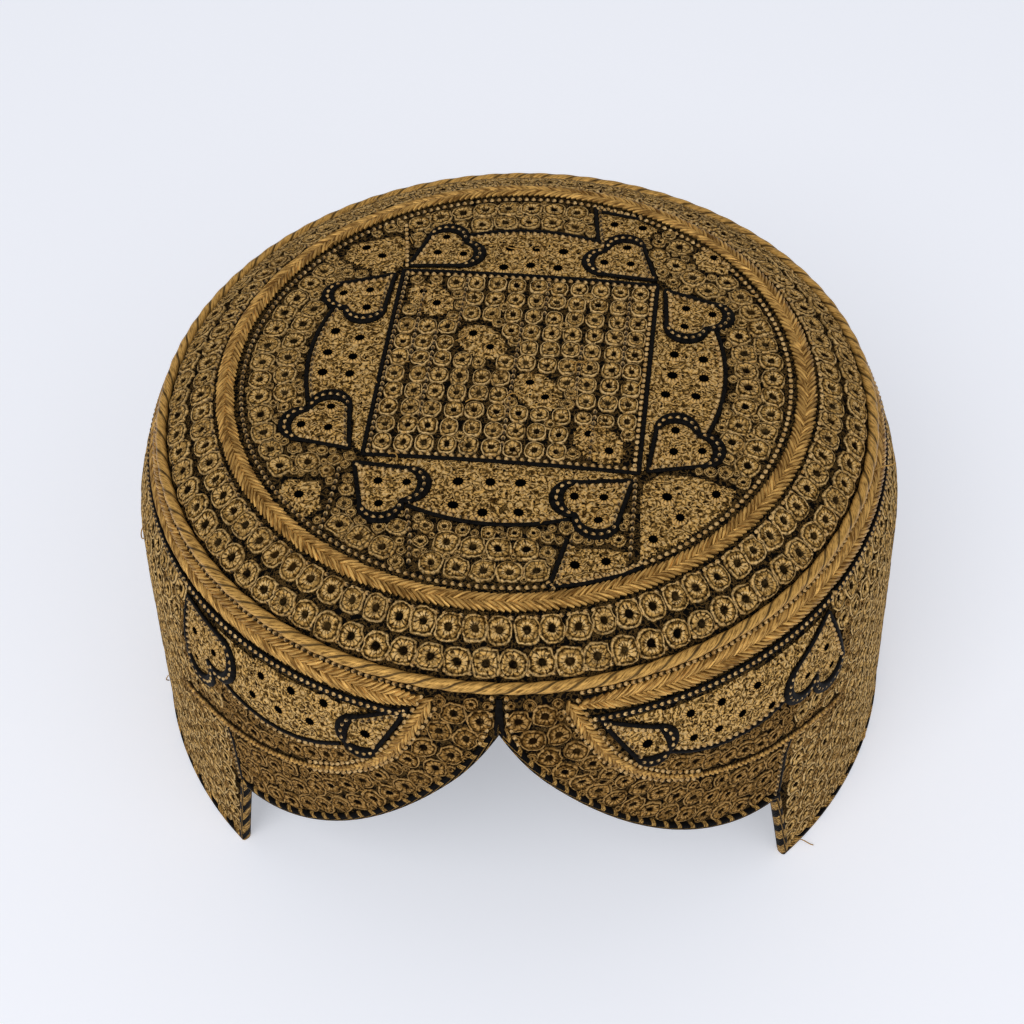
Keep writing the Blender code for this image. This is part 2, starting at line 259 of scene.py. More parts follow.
@dataclass(frozen=True)
class Gold:
    """Colours of the gilt thread, from the crease colour, which is painted shade, to the palest, which is the pale
    thread and also painted highlight.
    """

    # Painted shade: the crease colour is the dark that falls in the creases and gaps between threads.
    crease_shade: Colour = linear(20, 12, 5)
    dark: Colour = linear(100, 70, 30)
    middle: Colour = linear(160, 118, 58)
    light: Colour = linear(224, 177, 101)
    pale: Colour = linear(240, 204, 142)


@dataclass(frozen=True)
class Finish:
    """A named surface: its colour and relief are drawn by draw(), the rest is uniform."""

    name: str
    roughness: float = 0.5
    metallic: float = 0.0
    specular: float = 0.15
    bump: float = 0.6
    depth: float = 0.3 * MM
    glow: float = 0.0
    gold: Gold = Gold()

    def draw(self, graph: Graph) -> tuple[Link, Link]:
        """Colour and height of 0 to 1 over the surface."""
        raise NotImplementedError

    def build(self) -> bpy.types.Material:
        """Makes the material."""
        made = bpy.data.materials.new(self.name)
        made.use_nodes = True
        made.node_tree.nodes.clear()
        graph = Graph(made.node_tree)
        colour, height = self.draw(graph)
        made.diffuse_color = (*self.gold.middle, 1.0)
        normal = graph.node(
            "ShaderNodeBump", {}, {"Strength": self.bump, "Distance": self.depth, "Height": height}
        )
        shader = graph.node(
            "ShaderNodeBsdfPrincipled", {},
            {"Base Color": colour, "Roughness": self.roughness, "Metallic": self.metallic,
             "Specular IOR Level": self.specular, "Normal": normal,
             "Emission Color": (0.90, 0.93, 1.0, 1.0), "Emission Strength": self.glow},
        )
        graph.node("ShaderNodeOutputMaterial", {}, {"Surface": shader})
        return made


@dataclass(frozen=True)
class WheelFinish(Finish):
    """Needle-lace rosettes: spokes of gilt thread inside one pale outline thread."""

    spokes: float = 13.0
    outline: float = 0.91
    eye: float = 0.25
    fine: float = 1250.0
    paleness: float = 0.6

    def draw(self, graph: Graph) -> tuple[Link, Link]:
        """Spokes from the angle in the first map axis, rings from the radius in the second."""
        uv = graph.node("ShaderNodeUVMap", {"uv_map": "UVMap"})
        split = graph.node("ShaderNodeSeparateXYZ", {}, {0: uv})
        turn, radius = split, split.part("Y")
        tint = graph.attribute("tint")
        place = graph.node("ShaderNodeTexCoord", output=3)
        wander = graph.noise(place, 520.0, 2.0)
        fibre = graph.noise(place, self.fine, 2.0, 0.65)
        ragged = radius + (wander - 0.5) * 0.24 + (fibre - 0.5) * 0.12
        spoke = (turn * (2.0 * math.pi * self.spokes) + tint * 30.0 + wander * 13.0).cosine() * 0.5 + 0.5
        petals = (spoke + (fibre - 0.5) * 0.9).smooth(-0.05, 0.30)
        swirl = (radius * 11.0 + wander * 12.0 + tint * 9.0).cosine() * 0.5 + 0.5
        rim = 1.0 - ((ragged - self.outline).absolute()).smooth(0.030, 0.075)
        groove = 1.0 - ((ragged - self.outline + 0.13).absolute()).smooth(0.02, 0.08)
        eye = 1.0 - ragged.smooth(self.eye, self.eye + 0.10)
        lip_highlight = 1.0 - ((ragged - self.eye - 0.17).absolute()).smooth(0.02, 0.11)
        thread = petals * (0.55 + 0.45 * swirl.smooth(0.05, 0.50))
        height = (thread * 0.6 + fibre * 0.3) * (1.0 - groove * 0.5) * (1.0 - eye) + rim * 0.4
        body = graph.mixed(fibre.smooth(0.36, 0.60), self.gold.dark, self.gold.light)
        # Painted highlights: paler thread on the crests of the swirl and on the lip round the eye.
        body = graph.mixed(swirl.smooth(0.80, 1.0) * petals * 0.5 + lip_highlight * 0.3, body, self.gold.pale)
        # Painted shade: the gaps between the spokes and the groove inside the outline darken to the crease colour.
        body = graph.mixed(thread * 0.80 + 0.18, self.gold.crease_shade, body)
        body = graph.mixed(groove * 0.80, body, self.gold.crease_shade)
        body = graph.mixed(eye * (0.90 + tint * 0.1), body, BLACK)
        shown = wander.smooth(0.40, 0.52) * 0.8 + 0.2
        body = graph.mixed(rim * shown * self.paleness, body, self.gold.pale)
        worn = graph.noise(place, 38.0, 2.0)
        body = graph.mixed(worn.smooth(0.50, 0.85) * 0.35, body, self.gold.dark)
        edge = (ragged + 0.03).smooth(0.97, 1.03)
        return graph.mixed(edge * 0.95, body, BLACK), height


@dataclass(frozen=True)
class ThreadFinish(Finish):
    """Laid gilt threads: fibres along the stitch, from the map on each stitch."""

    low: Colour = Gold().dark
    high: Colour = Gold().light
    fibres: float = 3.6
    length: float = 1.2

    def draw(self, graph: Graph) -> tuple[Link, Link]:
        """Fine streaks along the second map axis."""
        uv = graph.node("ShaderNodeUVMap", {"uv_map": "UVMap"})
        tint = graph.attribute("tint")
        shifted = graph.vector(
            "ADD", graph.stretched(uv, (self.fibres, self.length, 1.0)),
            graph.node("ShaderNodeCombineXYZ", {}, {0: tint * 37.0, 1: tint * 91.0}),
        )
        streak = graph.noise(shifted, 1.0, 3.0, 0.6)
        split = graph.node("ShaderNodeSeparateXYZ", {}, {0: uv})
        # Painted shade: each stitch darkens to the crease colour towards its two sides, where it turns down to the
        # cloth.
        across = ((split - 0.5).absolute()).smooth(0.20, 0.46)
        body = graph.mixed(streak.smooth(0.36, 0.60), self.low, self.high)
        body = graph.mixed(tint * 0.6, body, self.low)
        return graph.mixed(across * 0.95, body, self.gold.crease_shade), streak


@dataclass(frozen=True)
class RopeFinish(Finish):
    """A long cord whose fibres run with it, from the attributes of the laid cord."""

    low: Colour = Gold().dark
    high: Colour = Gold().light
    strands: float = 0.0
    turns: float = 0.0
    lines: float = 26.0
    run: float = 110.0
    slant: float = 150.0
    contrast: float = 0.9

    def draw(self, graph: Graph) -> tuple[Link, Link]:
        """Streaks along the cord, slanted round it."""
        along, around = graph.attribute("along"), graph.attribute("around")
        lean = graph.node(
            "ShaderNodeCombineXYZ", {},
            {0: around * self.lines + along * self.slant, 1: along * self.run},
        )
        streak = graph.noise(lean, 1.0, 3.0, 0.65)
        tone = streak.smooth(0.30, 0.60) * self.contrast
        body = graph.mixed(tone, self.low, self.high)
        if not self.strands:
            return body, streak
        lay = ((around * self.strands + along * self.turns) * (2.0 * math.pi)).cosine()
        # Painted shade: the furrows between the strands darken to the crease colour.
        furrow_shade = 1.0 - lay.smooth(-1.0, -0.72)
        return graph.mixed(furrow_shade * 0.8, body, self.gold.crease_shade), streak * 0.5 + lay * 0.3


@dataclass(frozen=True)
class LaceFinish(Finish):
    """Needle lace: a close net of gilt thread with small dark openings."""

    cell: float = 0.70
    opening: float = 0.27

    def draw(self, graph: Graph) -> tuple[Link, Link]:
        """Net over a map in millimetres."""
        uv = graph.node("ShaderNodeUVMap", {"uv_map": "UVMap"})
        warp = graph.node("ShaderNodeTexNoise", {}, {"Vector": uv, "Scale": 0.7, "Detail": 2.0}, 1)
        bent = graph.vector("ADD", uv, graph.scaled(warp, 1.5))
        net = graph.node("ShaderNodeTexVoronoi", {"feature": "F1"}, {"Vector": bent, "Scale": self.cell})
        fibre = graph.noise(bent, 1.1, 2.0, 0.6)
        patch = graph.noise(uv, 0.35, 1.0)
        course = graph.noise(bent, 0.42, 1.0)
        lines = (course * 36.0 + fibre * 4.0).cosine() * 0.5 + 0.5
        turn = (net * 12.0 + fibre * 5.0).cosine() * 0.5 + 0.5
        opening = self.opening * 0.4 + patch * self.opening
        hole = 1.0 - (net + fibre * 0.24 - opening).smooth(0.02, 0.14)
        body = graph.mixed(fibre.smooth(0.36, 0.60), self.gold.dark, self.gold.light)
        # Painted shade: the troughs between the thread lines and round the net's turns darken to the crease colour.
        body = graph.mixed(lines.smooth(0.02, 0.36) * 0.80 + 0.20, self.gold.crease_shade, body)
        body = graph.mixed(turn.smooth(0.0, 0.30) * 0.60 + 0.40, self.gold.crease_shade, body)
        # Painted highlight: the crests of the thread lines turn pale.
        body = graph.mixed(lines.smooth(0.80, 1.0) * 0.6, body, self.gold.pale)
        body = graph.mixed(hole * 0.97, body, BLACK)
        return body, (turn * 0.3 + lines * 0.4 + fibre * 0.3) * (1.0 - hole)


@dataclass(frozen=True)
class EyeletFinish(Finish):
    """A worked eyelet: stitches over its rim and a dark opening."""

    def draw(self, graph: Graph) -> tuple[Link, Link]:
        """Buttonhole stitches from the angle, the opening from the radius."""
        uv = graph.node("ShaderNodeUVMap", {"uv_map": "UVMap"})
        split = graph.node("ShaderNodeSeparateXYZ", {}, {0: uv})
        tint = graph.attribute("tint")
        place = graph.node("ShaderNodeTexCoord", output=3)
        wander = graph.noise(place, 900.0, 2.0)
        stitch = (split * (2.0 * math.pi * 12.0) + tint * 20.0 + wander * 5.0).cosine() * 0.5 + 0.5
        body = graph.mixed(stitch.smooth(0.15, 0.85), self.gold.dark, self.gold.light)
        # Painted highlight: a paler ring towards the eyelet's raised outer rim.
        body = graph.mixed(split.part("Y").smooth(0.70, 0.95) * 0.4, body, self.gold.pale)
        inner = 1.0 - (split.part("Y") + wander * 0.10).smooth(0.62, 0.72)
        return graph.mixed(inner, body, BLACK), stitch


@dataclass(frozen=True)
class ClothFinish(Finish):
    """Black cotton with filling stitches of gilt thread, as a share of the ground."""

    filled: float = 0.20
    weave: float = 1400.0

    def draw(self, graph: Graph) -> tuple[Link, Link]:
        """Short stitches scattered over a plain weave."""
        place = graph.node("ShaderNodeTexCoord", output=3)
        bent = graph.vector(
            "ADD", place,
            graph.scaled(graph.node("ShaderNodeTexNoise", {}, {"Vector": place, "Scale": 500.0}, 1), 0.0012),
        )
        squiggle = graph.noise(bent, 620.0, 3.0, 0.7)
        ground = graph.noise(graph.stretched(place, (1, 1, 0.4)), self.weave, 2.0, 0.7)
        line = 1.0 - ((squiggle - 0.5).absolute()).smooth(0.012, 0.060)
        body = graph.mixed(ground, BLACK, (0.0070, 0.0062, 0.0056))
        thread = graph.mixed(ground, self.gold.dark, self.gold.light)
        return graph.mixed(line * self.filled, body, thread), line * 0.7 + ground * 0.3


@dataclass(frozen=True)
class EdgeFinish(Finish):
    """The whipped edge: slanting bands of black and gilt thread."""

    pitch: float = 7.6
    lean: float = 1.25

    def draw(self, graph: Graph) -> tuple[Link, Link]:
        """Bands by the distance along the edge in millimetres, slanting across it."""
        uv = graph.node("ShaderNodeUVMap", {"uv_map": "UVMap"})
        split = graph.node("ShaderNodeSeparateXYZ", {}, {0: uv})
        along, around = split, split.part("Y")
        wander = graph.noise(uv, 0.7, 2.0)
        start = 1.0 - graph.attribute("gilt")
        band = (along / self.pitch + around * self.lean + wander * 0.16).fraction()
        gilt = band.smooth(start - 0.03, start + 0.03) * (1.0 - band.smooth(0.93, 0.99))
        thread = (along * 7.0 + around * (self.lean * self.pitch * 7.0) + wander * 5.0).cosine() * 0.5 + 0.5
        fibre = graph.noise(graph.stretched(uv, (1.6, 6.0, 1.0)), 1.0, 3.0, 0.6)
        body = graph.mixed(fibre.smooth(0.36, 0.62), self.gold.dark, self.gold.light)
        # Painted shade: the gilt darkens to the crease colour between its threads.
        body = graph.mixed(thread.smooth(0.0, 0.5) * 0.75 + 0.25, self.gold.crease_shade, body)
        dark = graph.mixed(thread, BLACK, (0.0075, 0.0066, 0.0060))
        return graph.mixed(gilt, dark, body), thread * 0.6 + gilt * 0.4


@dataclass(frozen=True)
class FloorFinish(Finish):
    """Plain pale floor."""

    colour: Colour = linear(226, 229, 238)

    def draw(self, graph: Graph) -> tuple[Link, Link]:
        """One colour with an even height."""
        place = graph.node("ShaderNodeTexCoord", output=3)
        grain = graph.noise(place, 40.0)
        return graph.mixed(grain * 0.02, self.colour, linear(222, 226, 236)), grain


# The cloth's two charts


@dataclass(frozen=True)
class Laid:
    """Spots on the cloth with their outward normals and the chart's two directions."""

    points: np.ndarray
    normals: np.ndarray
    first: np.ndarray
    second: np.ndarray


def unit(vectors: np.ndarray) -> np.ndarray:
    """Vectors of length 1."""
    return vectors / np.maximum(np.linalg.norm(vectors, axis=1, keepdims=True), 1e-12)


@dataclass(frozen=True)
class CapSurface:
    """The outside of the cloth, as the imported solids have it."""

    rim_radius: float
    seam_radius: float
    seam_height: float
    ring_radius: float
    crown_rise: float
    wall_taper: float = 3.1 * MM
    taper_power: float = 1.3
    shoulder_start: float = 66.0 * MM
    shoulder_power: float = 1.8
    dome_rise: float = 3.3 * MM
    dome_power: float = 2.2
    band_power: float = 1.7
    notch_height: float = 79.0 * MM
    scallop_height: float = 29.0 * MM
    scallop_power: float = 1.9
    step_angle: float = 42.0
    step_slant: float = 3.3
    cloth: float = 2.2 * MM
    ground: float = 0.75 * MM

    @classmethod
    def from_frame(cls) -> "CapSurface":
        """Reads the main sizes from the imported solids."""
        cord_low, cord_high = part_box("seam_cord")
        braid_low, braid_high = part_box("ring_braid")
        rim_low, rim_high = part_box("edge_binding")
        _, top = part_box("crown_top")
        cord = (cord_high.z - cord_low.z) / 2
        seam_height = (cord_high.z + cord_low.z) / 2
        return cls(
            rim_radius=(rim_high.x - rim_low.x) / 2 - 0.3 * MM,
            seam_radius=(cord_high.x - cord_low.x) / 2 - cord,
            seam_height=seam_height,
            ring_radius=(braid_high.x - braid_low.x) / 2 - 2.4 * MM,
            crown_rise=top.z - seam_height,
        )

    def wall_radius(self, height: np.ndarray) -> np.ndarray:
        """Outer radius of the wall at a height."""
        share = np.maximum(height, 0.0) / self.seam_height
        turn = np.maximum(0.0, (height - self.shoulder_start) / (self.seam_height - self.shoulder_start))
        shoulder = self.rim_radius - self.wall_taper - self.seam_radius
        return self.rim_radius - self.wall_taper * share**self.taper_power - shoulder * turn**self.shoulder_power

    def crown_height(self, radius: np.ndarray) -> np.ndarray:
        """Height of the crown's outside at a plan radius."""
        share = radius / self.ring_radius
        beyond = np.maximum(0.0, (radius - self.ring_radius) / (self.seam_radius - self.ring_radius))
        drop = self.crown_rise - self.dome_rise * (self.seam_radius / self.ring_radius) ** self.dome_power
        fall = self.dome_rise * share**self.dome_power + drop * beyond**self.band_power
        return self.seam_height + self.crown_rise - fall

    def place(self, zone: Zone, flat: np.ndarray) -> np.ndarray:
        """Points of the cloth at spots of a chart."""
        if zone is Zone.CROWN:
            height = self.crown_height(np.hypot(flat[:, 0], flat[:, 1]))
            return np.column_stack([flat[:, 0], flat[:, 1], height])
        azimuth = flat[:, 0] / self.rim_radius
        radius = self.wall_radius(flat[:, 1])
        return np.column_stack([np.sin(azimuth) * radius, -np.cos(azimuth) * radius, flat[:, 1]])

    def lay(self, zone: Zone, flat: np.ndarray, lift: Union[float, np.ndarray] = 0.0) -> Laid:
        """Lays chart spots on the black cloth, which lies a little under the solids' outside.

        Args:
            zone: The chart.
            flat: Spots, one a row.
            lift: Distance off the black cloth, one for all or one for each.

        Returns:
            The spots with their normals and directions.
        """
        flat = np.asarray(flat, float)
        step = 0.05 * MM
        east = unit(self.place(zone, flat + (step, 0)) - self.place(zone, flat - (step, 0)))
        north = unit(self.place(zone, flat + (0, step)) - self.place(zone, flat - (0, step)))
        normal = unit(np.cross(east, north))
        points = self.place(zone, flat) + normal * (np.reshape(lift, (-1, 1)) - self.ground)
        return Laid(points, normal, east, north)

    def arc(self, azimuth: Union[float, np.ndarray]) -> Union[float, np.ndarray]:
        """Distance round the rim of an azimuth in degrees."""
        return self.rim_radius * np.radians(azimuth)

    def edge_height(self, arc: np.ndarray) -> np.ndarray:
        """Height of the lower edge at a distance round the rim."""
        azimuth = np.abs(np.degrees(np.asarray(arc) / self.rim_radius))
        scallop = self.scallop_height + (self.notch_height - self.scallop_height) * (
            np.maximum(0.0, 1.0 - azimuth / self.step_angle) ** self.scallop_power
        )
        slant = self.scallop_height * (1.0 - (azimuth - self.step_angle) / self.step_slant)
        return np.where(azimuth <= self.step_angle, scallop, np.maximum(0.0, slant))

    def edge_route(self, step: float) -> np.ndarray:
        """The lower edge from the notch right round to the notch again, in even steps."""
        tip = self.step_angle + self.step_slant
        half = np.concatenate([
            np.linspace(0.0, self.step_angle, 80), np.linspace(self.step_angle, tip, 12)[1:],
            np.linspace(tip, 180.0, 80)[1:],
        ])
        azimuths = np.concatenate([half, 360.0 - half[-2::-1]])
        arcs = self.arc(azimuths)
        heights = self.edge_height(self.arc(np.minimum(azimuths, 360.0 - azimuths)))
        return resampled(np.column_stack([arcs, heights]), step, False)


def resampled(route: np.ndarray, step: float, closed: bool) -> np.ndarray:
    """A route in even steps; columns after the first two are carried along.

    Args:
        route: Points of the route, one a row.
        step: Distance that is wanted between points.
        closed: Whether the last point joins the first.

    Returns:
        The new points; a closed route doesn't repeat its first one.
    """
    route = np.asarray(route, float)
    if closed:
        route = np.vstack([route, route[:1]])
    lengths = np.hypot(*np.diff(route[:, :2], axis=0).T)
    at = np.concatenate([[0.0], np.cumsum(lengths)])
    count = max(2, int(round(at[-1] / step)))
    wanted = np.linspace(0.0, at[-1], count + 1)
    made = np.column_stack([np.interp(wanted, at, column) for column in route.T])
    return made[:-1] if closed else made


def sideways(route: np.ndarray, closed: bool) -> np.ndarray:
    """Unit vectors to the left of a flat route."""
    if closed:
        along = np.roll(route[:, :2], -1, axis=0) - np.roll(route[:, :2], 1, axis=0)
    else:
        along = np.gradient(route[:, :2], axis=0)
    return unit(np.column_stack([-along[:, 1], along[:, 0]]))


def distance(route: np.ndarray, closed: bool, spots: np.ndarray) -> np.ndarray:
    """Distance of each spot to a flat route."""
    ends = np.roll(route[:, :2], -1, axis=0) if closed else route[1:, :2]
    starts = route[:, :2] if closed else route[:-1, :2]
    run = ends - starts
    reach = spots[:, None, :2] - starts[None]
    share = np.clip((reach * run).sum(2) / np.maximum((run**2).sum(1), 1e-18), 0.0, 1.0)
    return np.linalg.norm(reach - share[..., None] * run, axis=2).min(1)


def inside(polygon: np.ndarray, spots: np.ndarray) -> np.ndarray:
    """Whether each spot lies inside a polygon."""
    x, y = spots[:, 0][:, None], spots[:, 1][:, None]
    x1, y1 = polygon[:, 0], polygon[:, 1]
    x2, y2 = np.roll(x1, -1), np.roll(y1, -1)
    rise = np.where(np.abs(y2 - y1) < 1e-12, 1e-12, y2 - y1)
    crossing = ((y1 > y) != (y2 > y)) & (x < (x2 - x1) * (y - y1) / rise + x1)
    return crossing.sum(1) % 2 == 1


# The drawing of the embroidery


@dataclass(frozen=True)
class Route:
    """A line of the drawing: flat points with the swelling of 0 to 1 of the line at each."""

    zone: Zone
    points: np.ndarray
    closed: bool

    @property
    def swell(self) -> np.ndarray:
        """Swelling at each point."""
        return self.points[:, 2] if self.points.shape[1] > 2 else np.zeros(len(self.points))

    @property
    def rise(self) -> np.ndarray:
        """Extra distance off the cloth at each point."""
        return self.points[:, 3] if self.points.shape[1] > 3 else np.zeros(len(self.points))


def heart(length: float, lobe: float, spread: float) -> np.ndarray:
    """Closed outline of a heart with its tip at 0, 0 and its axis along +x; a drop without spread.

    Args:
        length: From the tip to the end of the lobes.
        lobe: Radius of a lobe.
        spread: Distance of a lobe's centre from the axis.

    Returns:
        Points with their swelling, which is greatest half-way round a lobe.
    """
    reach = math.hypot(length - lobe, spread)
    start = math.atan2(spread, length - lobe) + math.asin(lobe / reach) + math.pi / 2
    angles = np.linspace(start, -math.asin(spread / lobe), 18)
    arc = np.column_stack([length - lobe + lobe * np.cos(angles), spread + lobe * np.sin(angles)])
    flank = np.outer(np.linspace(0.0, 0.93, 9), arc[0])
    swell = np.concatenate([np.zeros(len(flank)), np.sin(np.linspace(0.12, math.pi - 0.12, len(arc)))])
    upper = np.column_stack([np.vstack([flank, arc]), swell])
    lower = upper[-2:0:-1] * (1.0, -1.0, 1.0)
    return np.vstack([upper, lower])


def turned(outline: np.ndarray, tip: Sequence[float], axis: float) -> np.ndarray:
    """An outline with its axis at an angle in degrees and its tip at a spot."""
    c, s = math.cos(math.radians(axis)), math.sin(math.radians(axis))
    x = tip[0] + c * outline[:, 0] - s * outline[:, 1]
    y = tip[1] + s * outline[:, 0] + c * outline[:, 1]
    return np.column_stack([x, y, outline[:, 2]])


@dataclass
class Drawing:
    """Every line and field of the embroidery, drawn flat on the two charts."""

    surface: CapSurface
    square_side: float = 61.6 * MM
    square_turn: float = -4.1
    square_shift: float = 1.4 * MM
    heart_length: float = 17.5 * MM
    lobe_radius: float = 4.6 * MM
    lobe_spread: float = 3.4 * MM
    arc_radius: float = 48.4 * MM
    outline_width: float = 1.4 * MM
    outline_gap: float = 0.3 * MM
    lobe_swell: float = 1.8
    wall_heart_length: float = 20.5 * MM
    drop_length: float = 19.0 * MM
    # Corner, turn to the next corner, shift along the side and lift off it as shares of the heart's
    # length, angle between axis and side
    crown_hearts: tuple = (
        (1, -1, 0.046, 0.012, 38.0), (1, 1, 0.090, 0.012, 38.0),
        (2, -1, 0.085, 0.090, 44.0), (2, 1, -0.085, 0.040, 40.0),
        (3, -1, 0.063, 0.030, 44.0), (3, 1, 0.046, 0.012, 40.0),
        (0, -1, 0.080, 0.012, 40.0), (0, 1, 0.034, 0.012, 38.0),
    )
    wall_hearts: tuple = ((-54.3, 0.885, -44.0), (53.6, 0.885, -116.0))
    wall_drops: tuple = ((-13.0, 0.930, -138.5), (14.2, 0.905, -38.0))
    brow_cord: tuple = (
        (10.2, 0.950), (12.2, 0.885), (15.0, 0.800), (18.6, 0.730), (22.8, 0.675), (27.6, 0.632),
        (33.0, 0.600), (38.6, 0.575), (44.4, 0.558), (50.2, 0.540), (55.4, 0.518),
    )
    lens_line: tuple = (
        (22.6, 0.775), (26.4, 0.742), (29.4, 0.724), (32.6, 0.714), (35.8, 0.712), (39.0, 0.718),
        (41.6, 0.728), (43.4, 0.742),
    )
    # Crown spots in millimetres, from the square's middle outwards
    square_eyelets: tuple = (
        (-23.1, 25.9), (-19.6, 21.6), (-10.3, 10.9), (-6.1, 6.3),
        (3.6, -5.2), (7.2, -9.8), (17.3, -20.7), (21.9, -25.6),
    )
    panel_eyelets: tuple = (
        (-11.0, -35.4), (-3.9, -35.5), (2.7, -35.6), (-11.7, -42.0), (-5.2, -44.0), (2.6, -43.8),
        (-3.0, 42.3), (3.4, 42.2), (10.0, 41.3), (-4.3, 34.9), (2.2, 35.7), (8.8, 34.9),
        (-42.9, 12.2), (-36.9, 9.7), (-44.0, 5.0), (-37.9, 3.3), (-44.5, -1.6), (-38.1, -2.3),
        (36.6, 5.5), (43.3, 4.4), (36.1, -1.4), (43.3, -1.8), (34.5, -7.6), (41.4, -7.7),
    )
    corner_eyelets: tuple = (
        (22.3, 53.0), (29.3, 52.0), (15.1, -57.3), (21.7, -56.1), (-38.5, 43.2), (-34.3, 39.8),
        (34.7, -38.0), (45.4, -36.5), (37.5, -43.5), (31.7, -49.7), (-45.9, -38.5), (46.7, 41.6),
    )
    corner_patches: tuple = (
        ((18.0, 58.9), (28.4, 56.6), (33.5, 52.5), (31.0, 48.6), (24.0, 48.0), (18.6, 46.0)),
        ((13.4, -51.0), (11.5, -57.2), (10.0, -62.4), (17.0, -61.2), (25.4, -58.4), (27.5, -53.0),
         (21.0, -52.2), (16.0, -52.5)),
        ((-28.6, 36.6), (-27.6, 45.5), (-31.0, 48.8), (-42.6, 45.6), (-44.4, 39.8), (-38.0, 35.4),
         (-31.0, 33.4)),
        ((29.2, -34.4), (28.4, -44.0), (28.9, -55.6), (38.5, -49.6), (48.6, -39.8), (50.2, -34.4),
         (42.0, -31.4), (33.0, -31.2)),
        ((-49.6, -33.4), (-41.4, -34.4), (-40.6, -42.0), (-44.2, -45.4), (-51.2, -37.6)),
        ((43.0, 37.0), (49.8, 35.6), (51.4, 39.8), (45.6, 46.8), (41.2, 43.0)),
    )
    square_columns: int = 12
    square_rows: int = 11
    # Seed lines between columns of the square: column edge, and the rows between which it runs
    square_lines: tuple = (
        (-3, 5.2, 2.2), (0, 2.4, -4.8), (5, 4.6, 0.4), (-4, 1.6, -3.4), (1, 5.2, 3.2), (3, 1.2, -1.4),
        (-5, 4.4, 0.0), (4, -2.6, -5.2),
    )
    dotted_lines: tuple = (
        ((-21.6, -43.6), (-20.5, -49.8), (-20.3, -57.0)), ((27.8, -33.6), (27.3, -45.2), (26.8, -54.0)),
        ((-37.7, -31.6), (-38.9, -41.5), (-40.1, -47.6)), ((-27.9, 36.0), (-28.4, 43.0), (-29.4, 52.0)),
    )
    black_lines: tuple = (
        ((17.5, 60.4), (18.0, 52.0), (18.5, 45.6)), ((17.9, 59.0), (23.0, 57.6), (28.6, 56.2)),
        ((13.3, -50.4), (11.4, -57.2), (9.7, -63.0)),
        ((9.9, -62.8), (16.7, -61.9), (25.4, -59.2), (29.6, -56.6)),
    )
    # Wall spots: azimuth in degrees and height in millimetres
    wall_eyelets: tuple = (
        (26.9, 76.8), (31.8, 76.3), (37.8, 75.6), (27.0, 70.2), (30.9, 69.6), (34.8, 70.6), (39.9, 67.6),
        (-25.4, 78.2), (-30.8, 77.4), (-36.2, 76.6), (-27.3, 72.0), (-32.6, 70.6), (-37.4, 70.2),
    )
    corners: list = field(init=False)
    hearts: list = field(init=False)
    arcs: list = field(init=False)

    def __post_init__(self) -> None:
        """Draws the square, the hearts and the arcs from the sizes."""
        reach = self.square_side / math.sqrt(2.0)
        angles = np.radians(45.0 + self.square_turn + 90.0 * np.arange(4))
        self.corners = list(np.column_stack([reach * np.cos(angles), self.square_shift + reach * np.sin(angles)]))
        self.places = self._heart_places()
        outline = heart(self.heart_length, self.lobe_radius, self.lobe_spread)
        self.hearts = [turned(outline, tip, axis) for tip, axis in self.places]
        self.arcs = [self._arc(number) for number in range(4)]

    def _heart_places(self) -> list[tuple[np.ndarray, float]]:
        """Tip and axis of each heart of the crown, beside the side of the square that it turns to."""
        places = []
        for corner, turn, shift, lift, angle in self.crown_hearts:
            along = unit((self.corners[(corner + turn) % 4] - self.corners[corner])[None])[0]
            outward = np.array([along[1], -along[0]]) * turn
            off = self.outline_width + self.outline_gap + lift * self.heart_length
            axis = math.degrees(math.atan2(along[1], along[0])) - turn * angle
            places.append((self.corners[corner] + along * shift * self.heart_length + outward * off, axis))
        return places

    def _arc_end(self, tip: np.ndarray, axis: float, towards: float) -> float:
        """Angle about the square's middle where an arc stops short of a heart's two lobes."""
        ends = []
        for turn in (0.0, 90.0), (0.0, -90.0):
            lobe = tip - (0.0, self.square_shift)
            for angle, reach in zip(turn, (self.heart_length - self.lobe_radius, self.lobe_spread)):
                lobe = lobe + np.array([math.cos(math.radians(axis + angle)),
                                        math.sin(math.radians(axis + angle))]) * reach
            away = self.lobe_radius + self.outline_width * 0.9
            length = np.linalg.norm(lobe)
            near = (length**2 + self.arc_radius**2 - away**2) / (2 * length * self.arc_radius)
            bearing = math.degrees(math.atan2(lobe[1], lobe[0]))
            bearing += 360.0 * round((towards - bearing) / 360.0)
            spread = math.degrees(math.acos(min(1.0, near)))
            ends.append(bearing + math.copysign(spread, towards - bearing))
        return ends[int(np.argmin(np.abs(np.array(ends) - towards)))]

    def _arc(self, number: int) -> np.ndarray:
        """The arc beyond one side of the square."""
        middle = 90.0 * (number + 1) + self.square_turn
        ends = [
            self._arc_end(tip, axis, middle)
            for (corner, side, *_), (tip, axis) in zip(self.crown_hearts, self.places)
            if (corner, side) in ((number, 1), ((number + 1) % 4, -1))
        ]
        angles = np.radians(np.linspace(min(ends), max(ends), 24))
        return np.column_stack([
            self.arc_radius * np.cos(angles), self.square_shift + self.arc_radius * np.sin(angles),
        ])

    def mirrored(self, table: Iterable[tuple[float, float]], side: int) -> np.ndarray:
        """A route of azimuth and share of the seam's height on one side of the wall."""
        return np.array([(side * self.surface.arc(a), self.surface.seam_height * h) for a, h in table])

